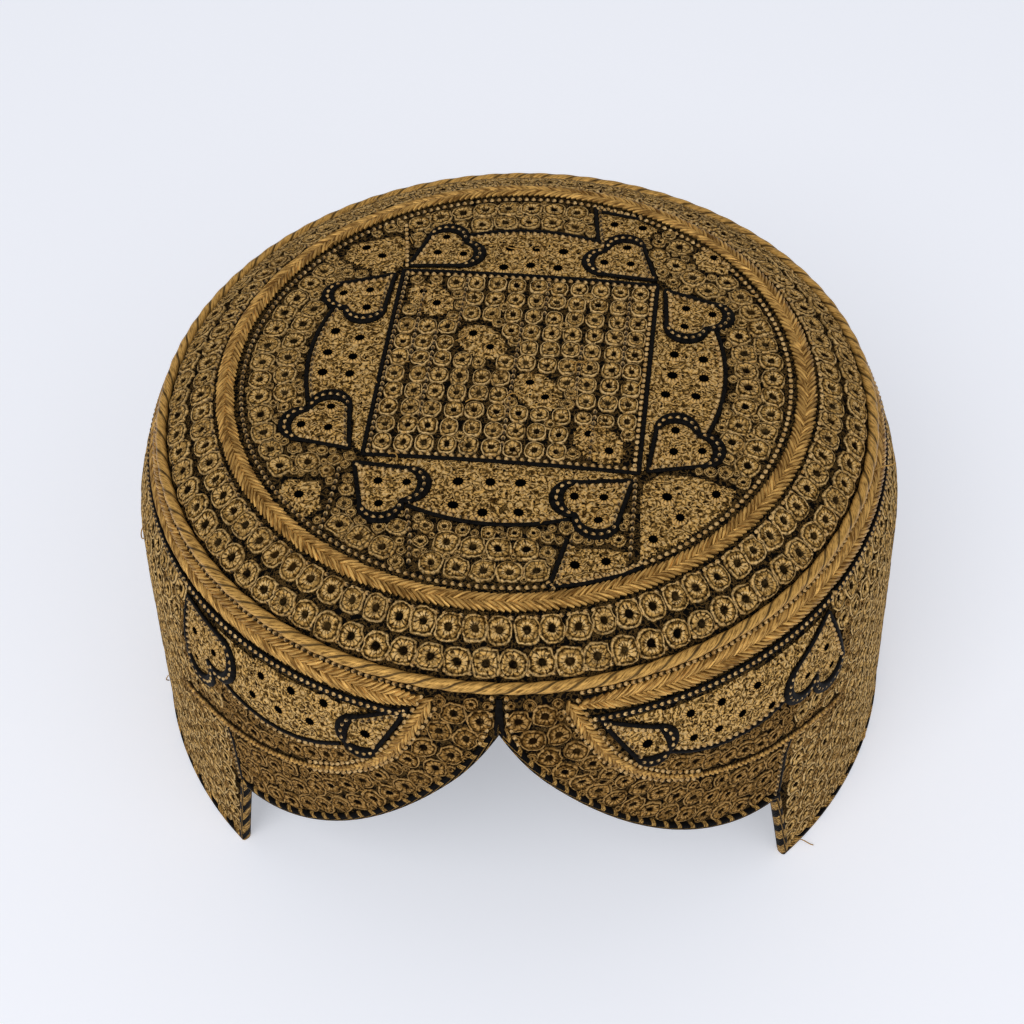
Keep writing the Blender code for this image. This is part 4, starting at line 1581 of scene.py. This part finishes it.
@dataclass
class Outlines:
    """Padded black cords round the motifs, and the pale seed stitches that go with them."""

    surface: CapSurface
    drawing: Drawing
    laying: LayingTree
    cords: CordTree
    width: float = 1.05 * MM
    lobes: float = 2.3 * MM
    under_swell: float = 0.3
    seed_pitch: float = 1.75 * MM
    seed_size: tuple = (0.70 * MM, 0.52 * MM, 0.45 * MM)

    def routes(self, zone: Zone) -> list[Route]:
        """The black lines of a zone."""
        d, s = self.drawing, self.surface
        if zone is Zone.CROWN:
            made = [Route(zone, np.array(d.corners), True)]
            made += [Route(zone, outline, True) for outline in d.hearts]
            made += [Route(zone, arc, False) for arc in d.arcs]
            return made + [Route(zone, np.array(line) * MM, False) for line in d.black_lines]
        made = [Route(zone, outline, True) for outline in d.wall_motifs()]
        for side in (-1, 1):
            made.append(Route(zone, d.mirrored(d.lens_line, side), False))
            line = d.mirrored(((13.4, 0.914), (30.0, 0.912), (55.0, 0.911)), side)
            made.append(Route(zone, np.column_stack([line, np.full(3, self.under_swell)]), False))
            made.append(Route(zone, d.mirrored(((42.8, 0.345), (43.6, 0.50), (44.6, 0.555)), side), False))
        around = np.linspace(56.0, 304.0, 200)
        behind = [s.arc(around), np.full(200, 0.911 * s.seam_height), np.full(200, self.under_swell)]
        made.append(Route(zone, np.column_stack(behind), False))
        notch = np.array([(0.0, 0.892, 1.0), (0.0, 0.92, 0.55), (0.0, 0.975, 0.15)]) * (1.0, s.seam_height, 0.8)
        made.append(Route(zone, notch, False))
        return made

    def seeds(self, zone: Zone) -> list[tuple[Route, np.ndarray, np.ndarray]]:
        """Rows of seed stitches: the line that each follows, its distance beside it and its rise."""
        d, s = self.drawing, self.surface
        rows = []
        for route in self.routes(zone):
            under_braid = zone is Zone.WALL and np.ptp(route.points[:, 1]) < 0.6 * MM
            beside = (self.width / 2 + 0.50 * MM) * (1.0 - np.clip(route.swell * 2.0, 0.0, 1.0))
            if under_braid:
                beside = np.zeros(len(route.points))
            if route.closed and zone is Zone.CROWN and len(route.points) == 4:
                beside = -beside
            raised = np.clip(route.swell * 2.0, 0.0, 1.0) if not under_braid else np.ones(len(route.points))
            if route.closed or np.ptp(route.points[:, 0]) > 0.5 * MM:
                rows.append((route, -beside if not route.closed else beside, raised))
        circle = np.linspace(0.0, 2 * math.pi, 360, endpoint=False)
        ring = lambda radius: np.column_stack([np.cos(circle), np.sin(circle)]) * radius
        if zone is Zone.CROWN:
            edge = s.seam_radius - 2.2 * MM
            for radius in (s.ring_radius - 3.7 * MM, s.ring_radius + 3.5 * MM, edge):
                rows.append((Route(zone, ring(radius), True), np.zeros(360), np.zeros(360)))
            lines = [np.array(line) * MM for line in d.dotted_lines] + d.column_lines()
            return rows + [(Route(zone, line, False), np.zeros(len(line)), np.ones(len(line))) for line in lines]
        around = np.linspace(12.0, 348.0, 300)
        under_cord = np.column_stack([s.arc(around), np.full(300, s.seam_height - 1.85 * MM)])
        rows.append((Route(zone, under_cord, False), np.zeros(300), np.zeros(300)))
        for side in (-1, 1):
            cord = d.mirrored(d.brow_cord, side)
            for offset, points in ((-2.0 * MM, cord[:6]), (2.0 * MM, cord[:6])):
                rows.append((Route(zone, points, False), np.linspace(offset, offset * 0.6, len(points)),
                             np.zeros(len(points))))
            notch = np.array([(side * 1.7 * MM, 0.975 * s.seam_height), (side * 1.9 * MM, 0.925 * s.seam_height),
                              (side * 4.2 * MM, 0.865 * s.seam_height)])
            rows.append((Route(zone, notch, False), np.zeros(3), np.zeros(3)))
        return rows

    def build(self, black: bpy.types.Material, pale: bpy.types.Material) -> None:
        """Lays the black cords, then the seeds."""
        s = self.surface
        nodes = {
            Zone.CROWN: ["square_cord"] + [f"heart_cord_{i}" for i in range(1, 9)]
            + [f"arc_cord_{i}" for i in range(1, 5)],
            Zone.WALL: ["wall_heart_left", "wall_heart_right", "wall_drop_left", "wall_drop_right",
                        "lens_cord_left", "lens_cord_right"],
        }
        for zone in Zone:
            piece = self.cords.lay(
                f"black_outlines_{zone.value}", s, self.routes(zone), black, self.width, 0.40 * MM,
                step=0.8 * MM, swelling=self.lobes, sides=12, flatness=0.55, groove=0.75,
            )
            dress(piece, Slot.BLACK_CORD, *nodes[zone])
            flats, headings, lifts = [], [], []
            for route, beside, raised in self.seeds(zone):
                full = np.column_stack([route.points[:, :2], raised, beside])
                even = resampled(full, self.seed_pitch, route.closed)
                side = sideways(even, route.closed)
                flats.append(even[:, :2] - side * even[:, 3:4])
                headings.append(np.column_stack([side[:, 1], -side[:, 0]]))
                lifts.append(0.36 * MM + 0.32 * MM * even[:, 2])
            beads = Beads.on(s, zone, np.vstack(flats), np.array(self.seed_size), 21, np.vstack(headings),
                             np.concatenate(lifts))
            shape = Shapes.rings("seed", ((0.0, 1.0), (0.62, 0.78), (1.0, -0.1)), 7)
            piece = self.laying.lay(f"seed_stitches_{zone.value}", beads, [shape], pale, wander=0.22)
            dress(piece, Slot.EMBROIDERY)


@dataclass
class Lace:
    """Pads of needle lace inside the motifs, with their worked eyelets."""

    surface: CapSurface
    drawing: Drawing
    laying: LayingTree
    cell: float = 0.55 * MM
    rise: float = 0.42 * MM
    clear: float = 0.9 * MM

    def regions(self, zone: Zone) -> list[tuple[np.ndarray, list[np.ndarray]]]:
        """Polygons to fill, each with the outlines that it stays clear of."""
        d = self.drawing
        if zone is Zone.CROWN:
            made = [(outline, []) for outline in d.hearts]
            made += [(panel, d.hearts) for panel in d.arc_panels()]
            made += [(np.array(patch) * MM, d.hearts) for patch in d.corner_patches]
            return made + [(diamond, []) for diamond in d.diamonds()]
        motifs = d.wall_motifs()
        return [(outline, []) for outline in motifs] + [(panel, motifs) for panel in d.lens_panels()]

    def pad(self, zone: Zone, region: np.ndarray, others: list[np.ndarray]) -> tuple[np.ndarray, ...]:
        """One pad as points, quads and map values."""
        low, high = region[:, :2].min(0), region[:, :2].max(0)
        size = np.maximum(2, np.ceil((high - low) / self.cell).astype(int)) + 1
        x, y = np.meshgrid(low[0] + np.arange(size[0]) * self.cell, low[1] + np.arange(size[1]) * self.cell,
                           indexing="ij")
        flat = np.column_stack([x.ravel(), y.ravel()])
        kept = inside(region, flat)
        edge = distance(region, True, flat)
        for other in others:
            gap = distance(other, True, flat)
            kept &= ~inside(other, flat) & (gap > self.clear * 0.6)
            edge = np.minimum(edge, np.maximum(gap - self.clear * 0.6, 0.0))
        lift = self.rise * np.sqrt(np.clip(edge / (1.2 * MM), 0.0, 1.0)) - 0.1 * MM
        points = self.surface.lay(zone, flat, lift).points
        number = np.arange(len(flat)).reshape(size)
        quads = np.stack([number[:-1, :-1], number[1:, :-1], number[1:, 1:], number[:-1, 1:]], -1).reshape(-1, 4)
        return points, quads[kept[quads].all(1)], flat / MM

    def build(self, lace: bpy.types.Material, eyelet: bpy.types.Material) -> None:
        """Makes the pads and the eyelets of both zones."""
        rim = Shapes.rings(
            "eyelet", ((0.40, 0.15), (0.50, 0.75), (0.72, 1.0), (0.90, 0.70), (1.05, -0.2)), 14
        )
        for zone in Zone:
            points, faces, maps, first = [], [], [], 0
            for region, others in self.regions(zone):
                spots, quads, flat = self.pad(zone, region, others)
                used = np.unique(quads)
                order = np.full(len(spots), -1)
                order[used] = np.arange(len(used)) + first
                points.append(spots[used])
                maps.append(flat[used])
                faces += order[quads].tolist()
                first += len(used)
            piece = plain(f"lace_{zone.value}", np.vstack(points), faces, lace, np.vstack(maps))
            dress(piece, Slot.EMBROIDERY)
            spots, radii = self.drawing.eyelets(zone)
            random = np.random.default_rng(31)
            size = np.column_stack([radii * random.normal(1.0, 0.05, len(radii)),
                                    radii * random.normal(0.95, 0.06, len(radii)),
                                    np.full(len(radii), 0.55 * MM)])
            beads = Beads.on(self.surface, zone, spots, size, 32, lift=0.25 * MM)
            dress(self.laying.lay(f"eyelets_{zone.value}", beads, [rim], eyelet, wander=0.6), Slot.EMBROIDERY)


@dataclass
class Wheels:
    """Rosettes of needle lace that cover the crown and the wall."""

    surface: CapSurface
    drawing: Drawing
    laying: LayingTree
    relief: float = 0.80 * MM
    wall_relief: float = 0.60 * MM
    band_count: int = 84
    band_radii: tuple = (73.0 * MM, 79.1 * MM)
    band_half: float = 3.25 * MM
    field_rows: tuple = (59.3 * MM, 53.4 * MM, 47.5 * MM, 41.6 * MM)
    field_pitch: float = 5.7 * MM
    field_half: float = 2.95 * MM
    side_pitch: float = 5.3 * MM
    side_half: float = 2.95 * MM
    front_rows: tuple = (5.2 * MM, 10.7 * MM, 16.2 * MM, 21.7 * MM, 27.2 * MM, 32.7 * MM)
    front_pitch: float = 5.5 * MM
    least: float = 0.75 * MM
    field_least: float = 1.5 * MM
    filler: float = 1.7 * MM

    def shapes(self) -> list[bpy.types.Mesh]:
        """Three rosettes: round, rounded square and uneven."""
        rows = ((0.20, 0.10), (0.34, 0.85), (0.72, 1.0), (0.93, 0.80), (1.0, 0.0))
        return [
            Shapes.rings("wheel_round", rows, 16, 2.8, 0.03, 1),
            Shapes.rings("wheel_square", rows, 16, 3.6, 0.03, 2),
            Shapes.rings("wheel_uneven", rows, 16, 3.2, 0.05, 3),
        ]

    def clearances(self, zone: Zone, spots: np.ndarray) -> np.ndarray:
        """How far each spot is from the lines and lace of its zone; negative inside them."""
        d = self.drawing
        if zone is Zone.CROWN:
            patches = [np.array(patch) * MM for patch in d.corner_patches]
            shut = [(d.hearts + d.arc_panels() + patches, 0.5 * MM), (d.diamonds(), -0.4 * MM)]
            lines = [(np.array(line) * MM, 0.5 * MM) for line in d.dotted_lines + d.black_lines]
            lines.append((np.array(d.corners + d.corners[:1]), 1.3 * MM))
        else:
            shut = [(d.wall_motifs() + d.lens_panels(), 0.5 * MM)]
            lines = [(np.array([(0.0, 0.05), (0.0, 0.09)]), 1.3 * MM)]
            for side in (-1, 1):
                lines.append((d.mirrored(d.brow_cord, side), 1.5 * MM))
                lines.append((d.mirrored(d.lens_line, side), 0.5 * MM))
        clear = np.full(len(spots), 1.0)
        for group, margin in shut:
            for polygon in group:
                gap = distance(polygon, True, spots)
                clear = np.minimum(clear, np.where(inside(polygon, spots), -gap, gap - margin))
        for line, half in lines:
            clear = np.minimum(clear, distance(line, False, spots) - half)
        return clear

    def packed(
        self, zone: Zone, places: np.ndarray, spots: np.ndarray, radii: np.ndarray, least: float
    ) -> tuple[np.ndarray, np.ndarray]:
        """Small wheels in the room that is left, the largest first.

        Args:
            zone: The chart.
            places: Spots where a small wheel may lie.
            spots: Wheels that lie already.
            radii: Their radii.
            least: Smallest radius of a small wheel.

        Returns:
            Spots and radii of the small wheels.
        """
        clear = self.clearances(zone, places)
        for spot, radius in zip(spots, radii):
            clear = np.minimum(clear, np.linalg.norm(places - spot, axis=1) - radius * 0.92)
        found, sizes = [], []
        while clear.max() > least:
            best = int(clear.argmax())
            radius = min(self.filler, clear[best])
            found.append(places[best])
            sizes.append(radius)
            clear = np.minimum(clear, np.linalg.norm(places - places[best], axis=1) - radius * 0.95)
        return np.array(found).reshape(-1, 2), np.array(sizes)

    def lay(
        self, name: str, zone: Zone, spots: np.ndarray, halves: np.ndarray, finish: bpy.types.Material,
        seed: int, headings: Optional[np.ndarray] = None, wander: float = 0.12, kinds: int = 3,
    ) -> None:
        """Lays one group of wheels with their half sizes along and across."""
        random = np.random.default_rng(seed)
        spots = spots + random.normal(0.0, 0.12 * MM, spots.shape)
        relief = self.relief if zone is Zone.CROWN else self.wall_relief
        size = np.column_stack([
            halves * random.normal(1.0, 0.03, halves.shape), relief * random.normal(1.0, 0.08, len(halves)),
        ])
        beads = Beads.on(self.surface, zone, spots, size, seed, headings, -0.05 * MM, kinds=kinds)
        dress(self.laying.lay(name, beads, self.shapes(), finish, wander, seed), Slot.EMBROIDERY)

    def ring(self, radius: float, count: int, start: float = 0.0) -> tuple[np.ndarray, np.ndarray]:
        """Spots round a circle with the direction along it."""
        turns = 2 * math.pi * (np.arange(count) + start) / count
        spots = np.column_stack([np.cos(turns), np.sin(turns)]) * radius
        return spots, np.column_stack([-np.sin(turns), np.cos(turns)])

    def crown(self, finish: bpy.types.Material, square: bpy.types.Material) -> None:
        """The two rows outside the ring, the rows inside it and the square field."""
        d = self.drawing
        bands = [self.ring(radius, self.band_count, 0.5 * i) for i, radius in enumerate(self.band_radii)]
        spots, headings = (np.vstack(parts) for parts in zip(*bands))
        halves = np.column_stack([
            np.hypot(*spots.T) * math.pi / self.band_count * 1.04, np.full(len(spots), self.band_half),
        ])
        self.lay("wheels_crown_band", Zone.CROWN, spots, halves, finish, 41, headings)
        rows = [self.ring(radius, int(2 * math.pi * radius / self.field_pitch), 0.3 * i)
                for i, radius in enumerate(self.field_rows)]
        spots, headings = (np.vstack(parts) for parts in zip(*rows))
        outside = ~inside(np.array(d.corners), spots)
        spots, headings = spots[outside], headings[outside]
        clear = self.clearances(Zone.CROWN, spots)
        kept = clear > 1.9 * MM
        spots, headings = spots[kept], headings[kept]
        radii = np.minimum(self.field_half, clear[kept] + 0.2 * MM)
        self.lay("wheels_crown_rows", Zone.CROWN, spots, np.column_stack([radii, radii]), finish, 42, headings)
        x, y = np.meshgrid(np.arange(d.square_columns) - (d.square_columns - 1) / 2,
                           np.arange(d.square_rows) - (d.square_rows - 1) / 2)
        field_spots = d.on_square(x.ravel(), y.ravel())
        clear = self.clearances(Zone.CROWN, field_spots)
        kept = clear > 1.3 * MM
        field_spots = field_spots[kept]
        halves = np.array([0.455 / d.square_columns, 0.505 / d.square_rows]) * (d.square_side - 2.6 * MM)
        halves = np.minimum(halves, clear[kept][:, None] + 0.3 * MM)
        c, s = math.cos(math.radians(d.square_turn)), math.sin(math.radians(d.square_turn))
        self.lay("wheels_crown_square", Zone.CROWN, field_spots, halves, square, 43,
                 np.tile((c, s), (len(field_spots), 1)), 0.08, 1)
        places = self.grid(-62.0 * MM, 62.0 * MM, -62.0 * MM, 62.0 * MM)
        places = places[np.hypot(*places.T) < 61.6 * MM]
        within = inside(np.array(d.corners), places)
        laid, sizes = np.vstack([spots, field_spots]), np.concatenate([radii, halves.min(1)])
        groups = [self.packed(Zone.CROWN, places[chosen], laid, sizes, least)
                  for chosen, least in ((~within, self.least), (within, self.field_least))]
        small, radii = np.vstack([g[0] for g in groups]), np.concatenate([g[1] for g in groups])
        self.lay("wheels_crown_small", Zone.CROWN, small, np.column_stack([radii, radii]), finish, 47, None, 3.0)

    def grid(self, left: float, right: float, low: float, high: float) -> np.ndarray:
        """Evenly spread spots for the small wheels."""
        x, y = np.meshgrid(np.arange(left, right, 0.8 * MM), np.arange(low, high, 0.8 * MM))
        return np.column_stack([x.ravel(), y.ravel()])

    def front_spots(self) -> np.ndarray:
        """Rows that follow the scalloped edge up to the brow cords, on both sides of the notch."""
        s, d = self.surface, self.drawing
        route = d.mirrored(d.brow_cord, 1)
        arcs = s.arc(np.linspace(0.0, s.step_angle, 80))
        edge = np.column_stack([arcs, s.edge_height(arcs)])
        normal = sideways(edge, False)
        made = []
        for number, row in enumerate(self.front_rows):
            line = resampled(edge + normal * row, self.front_pitch * 0.25, False)
            line = line[line[:, 0] > 3.6 * MM]
            line = line[2 * (number % 2)::4]
            ceiling = np.interp(line[:, 0], route[:, 0], route[:, 1], left=0.97 * s.seam_height)
            kept = (line[:, 0] < s.arc(42.6)) & (line[:, 1] < ceiling)
            made += [line[kept], line[kept] * (-1.0, 1.0)]
        for side in (-1, 1):
            strip = resampled(d.mirrored(d.brow_cord, side), 5.0 * MM, False)
            inward = sideways(strip, False) * side
            made.append((strip + inward * 4.2 * MM)[3:])
        return np.vstack(made)

    def wall(self, finish: bpy.types.Material, flap: bpy.types.Material) -> None:
        """The front flap, the strips under the lens panels and the columns of the sides and back."""
        s = self.surface
        spots = self.front_spots()
        spots = spots[np.abs(spots[:, 0]) < s.arc(43.6)]
        clear = self.clearances(Zone.WALL, spots)
        kept = clear > 1.7 * MM
        spots = spots[kept]
        radii = np.minimum(2.85 * MM, clear[kept] + 0.2 * MM)
        self.lay("wheels_wall_front", Zone.WALL, spots, np.column_stack([radii, radii * 0.9]), flap, 44, None, 0.5)
        count = int(s.arc(360.0 - 2 * 46.6) / self.side_pitch)
        azimuths = np.linspace(46.6, 313.4, count)
        heights = np.linspace(4.9 * MM, 0.880 * s.seam_height, 14)
        a, h = (axis.ravel() for axis in np.meshgrid(azimuths, heights, indexing="ij"))
        random = np.random.default_rng(45)
        h = h + np.repeat(random.uniform(-1.3, 0.9, count), len(heights)) * MM
        arcs = s.arc(a)
        sides = np.column_stack([np.where(a > 180.0, arcs - s.arc(360.0), arcs), h])
        clear = self.clearances(Zone.WALL, sides)
        kept = clear > 1.6 * MM
        sides, clear = sides[kept], clear[kept] + 0.2 * MM
        halves = np.minimum(np.column_stack([np.full(len(sides), self.side_pitch * 0.475),
                                             np.full(len(sides), self.side_half)]), clear[:, None])
        azimuth = np.degrees(sides[:, 0] / s.rim_radius)
        for name, group in (
            ("right", (azimuth > 0) & (azimuth <= 112)), ("back", np.abs(azimuth) > 112),
            ("left", (azimuth < 0) & (azimuth >= -112)),
        ):
            self.lay(f"wheels_wall_{name}", Zone.WALL, sides[group], halves[group], finish, 46, None, 0.3)
        reach = s.arc(62.0)
        places = self.grid(-reach, reach, 3.0 * MM, 0.975 * s.seam_height)
        azimuth = np.abs(np.degrees(places[:, 0] / s.rim_radius))
        top = np.where(azimuth < 10.5, 0.965, 0.888) * s.seam_height
        places = places[(places[:, 1] > s.edge_height(places[:, 0]) + 3.4 * MM) & (places[:, 1] < top)
                        & ((azimuth < 42.2) | (azimuth > 46.5) | (places[:, 1] > 33.0 * MM))]
        near = np.abs(sides[:, 0]) < reach + 4.0 * MM
        small, radii = self.packed(
            Zone.WALL, places, np.vstack([spots, sides[near]]),
            np.concatenate([radii, halves[near].min(1)]), self.least,
        )
        self.lay("wheels_wall_small", Zone.WALL, small, np.column_stack([radii, radii]), flap, 48, None, 3.0)

    def build(
        self, crown: bpy.types.Material, square: bpy.types.Material, wall: bpy.types.Material,
        flap: bpy.types.Material,
    ) -> None:
        """Lays every group."""
        self.crown(crown, square)
        self.wall(wall, flap)


@dataclass
class LooseThreads:
    """Two loose ends of gilt thread and the fuzz that stands off the stitches."""

    surface: CapSurface
    cords: CordTree
    width: float = 0.32 * MM
    fuzz: int = 46

    def build(self, finish: bpy.types.Material) -> None:
        """Lays the loose ends, each with its middle off the cloth."""
        s = self.surface
        random = np.random.default_rng(61)
        routes = []
        for azimuth, height, run, drop, rise in (
            (77.0, 0.985 * s.seam_height, 4.5, -1.5, 4.2), (48.0, 2.6 * MM, 2.6, -1.6, 3.4)
        ):
            share = np.linspace(0.0, 1.0, 7)
            bend = np.sin(share * 5.0) * 0.5
            routes.append(Route(Zone.WALL, np.column_stack([
                s.arc(azimuth) + run * MM * share, height + (drop * share + bend) * MM, np.zeros(7),
                rise * MM * share,
            ]), False))
        for number in range(self.fuzz):
            crown = number % 2 == 0
            bearing, reach = random.uniform(0.0, 2 * math.pi), random.uniform(8.0, 82.0) * MM
            start = np.array([math.cos(bearing), math.sin(bearing)]) * reach
            if not crown:
                across = s.arc(random.uniform(-170.0, 170.0))
                low = float(s.edge_height(np.array([across]))[0]) + 6.0 * MM
                start = np.array([across, low + (0.80 * s.seam_height - low) * random.uniform(0.0, 1.0)])
            heading, length = random.uniform(0.0, 2 * math.pi), random.uniform(2.0, 4.0) * MM
            share = np.linspace(0.0, 1.0, 6)
            curl = heading + share * random.uniform(-2.2, 2.2)
            flat = start + np.column_stack([np.cos(curl), np.sin(curl)]) * (length * share)[:, None]
            rise = np.sin(share * math.pi) * random.uniform(0.3, 0.9) * MM
            routes.append(Route(Zone.CROWN if crown else Zone.WALL,
                                np.column_stack([flat, np.zeros(6), rise]), False))
        piece = self.cords.lay("loose_threads", s, routes, finish, self.width, 0.8 * MM, step=0.5 * MM,
                               sides=5, flatness=1.0)
        dress(piece, Slot.GOLD_CORD)


@dataclass
class Studio:
    """The camera, the lights and the floor."""

    lens: float = 70.861
    place: tuple = (0.02123, -0.33231, 0.42554)
    right: tuple = (0.99876, 0.04459, -0.02193)
    up: tuple = (-0.0188, 0.74764, 0.66384)
    back: tuple = (0.046, -0.66261, 0.74755)

    def camera(self) -> None:
        """The camera at the photographed angle."""
        data = bpy.data.cameras.new("camera")
        data.lens = self.lens
        data.sensor_width = 36.0
        data.clip_start = 0.01
        made = bpy.data.objects.new("camera", data)
        bpy.context.scene.collection.objects.link(made)
        turn = Matrix((self.right, self.up, self.back)).transposed().to_4x4()
        made.matrix_world = Matrix.Translation(self.place) @ turn
        bpy.context.scene.camera = made

    def light(self, name: str, place: tuple, size: float, power: float, colour: Colour) -> None:
        """A soft square light that faces the cap."""
        data = bpy.data.lights.new(name, "AREA")
        data.size = size
        data.energy = power
        data.color = colour
        made = bpy.data.objects.new(name, data)
        bpy.context.scene.collection.objects.link(made)
        made.location = place
        made.rotation_euler = (Vector((0, 0, 0.05)) - Vector(place)).to_track_quat("-Z", "Y").to_euler()

    def build(self) -> None:
        """Makes the whole studio."""
        self.camera()
        self.light("key", (-0.4, -0.85, 1.1), 0.8, 6.6, (1.0, 0.985, 0.96))
        self.light("fill", (0.65, -0.85, 0.95), 1.0, 2.8, (1.0, 0.99, 0.98))
        self.light("rear", (0.2, 1.1, 0.9), 0.9, 0.8, (1.0, 1.0, 1.0))
        bpy.context.scene.view_settings.view_transform = "Standard"
        world = bpy.data.worlds.new("studio")
        bpy.context.scene.world = world
        world.use_nodes = True
        shade = world.node_tree.nodes["Background"]
        shade.inputs["Color"].default_value = (0.84, 0.84, 0.85, 1.0)
        shade.inputs["Strength"].default_value = 0.43
        reach = 30.0
        corners = np.array([(-reach, -reach, 0.0), (reach, -reach, 0.0), (reach, reach, 0.0), (-reach, reach, 0.0)])
        # Painted light: the floor glows a little, which lifts the shade under the cap and lights the cap from
        # below.
        floor = plain("floor", corners, [(0, 1, 2, 3)], FloorFinish("pale_floor", roughness=0.9, bump=0.0, glow=0.395).build())


def main() -> None:
    """Builds the cap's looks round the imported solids."""
    logging.basicConfig(level=logging.INFO, format="%(name)s %(message)s")
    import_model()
    surface = CapSurface.from_frame()
    drawing = Drawing(surface)
    laying, cords = LayingTree(), CordTree()
    gold = Gold()
    wheel = WheelFinish("crown_rosettes", metallic=0.12, specular=0.0, bump=0.9, paleness=0.45).build()
    square_wheel = WheelFinish("square_rosettes", metallic=0.12, specular=0.0, bump=0.9, spokes=9.0,
                               paleness=0.8, fine=900.0).build()
    wall_wheel = WheelFinish("wall_rosettes", metallic=0.12, specular=0.0, bump=0.9, spokes=8.0,
                             paleness=0.8, fine=850.0).build()
    # Painted shade: the front flap's rosettes, and the small rosettes of the wall's front, take a darker copy of
    # the gold because the flap stands in shade.
    shaded = Gold(dark=linear(76, 51, 20), light=linear(170, 127, 66), pale=linear(208, 166, 104))
    flap_wheel = WheelFinish("flap_rosettes", metallic=0.12, specular=0.0, bump=0.9, spokes=11.0,
                             gold=shaded).build()
    thread = ThreadFinish("gilt_stitches", roughness=0.42, metallic=0.35, bump=0.7, depth=0.2 * MM,
                          low=linear(116, 80, 33), high=linear(244, 194, 110)).build()
    pale = ThreadFinish("pale_seeds", roughness=0.5, bump=0.3, low=gold.middle,
                        high=gold.pale).build()
    length = 2 * math.pi * surface.seam_radius
    furrows = round(length / Braids.seam_furrow) / length
    rope = RopeFinish("gilt_cord", roughness=0.42, metallic=0.3, bump=0.6, depth=0.2 * MM, strands=2.0,
                      turns=furrows, lines=20.0, run=420.0, slant=20.0 * furrows / 2.0,
                      low=linear(110, 76, 31), high=linear(230, 180, 98)).build()
    # Partly painted sheen: the black cord's lighter streaks are its fibres and also stand in for the satin's
    # highlights.
    black = RopeFinish("black_cord_satin", roughness=0.5, specular=0.03, bump=0.4, depth=0.12 * MM,
                       low=BLACK, high=(0.0085, 0.0076, 0.0070), lines=4.0, run=900.0,
                       slant=600.0).build()
    lace = LaceFinish("needle_lace", metallic=0.12, specular=0.0, bump=0.9).build()
    eyelet = EyeletFinish("worked_eyelets", metallic=0.12, specular=0.0, bump=0.8, depth=0.2 * MM).build()
    cloth = ClothFinish("black_cotton", roughness=0.9, specular=0.0, bump=0.5, depth=0.2 * MM).build()
    edge = EdgeFinish("whipped_thread", roughness=0.5, specular=0.02, bump=0.8, depth=0.25 * MM).build()
    Cloth(surface).build(cloth)
    WhippedEdge(surface).build(edge)
    Braids(surface, laying, cords).build(drawing, thread, rope, black)
    Outlines(surface, drawing, laying, cords).build(black, pale)
    Lace(surface, drawing, laying).build(lace, eyelet)
    Wheels(surface, drawing, laying).build(wheel, square_wheel, wall_wheel, flap_wheel)
    LooseThreads(surface, cords).build(rope)
    Studio().build()


if __name__ == "__main__":
    main()
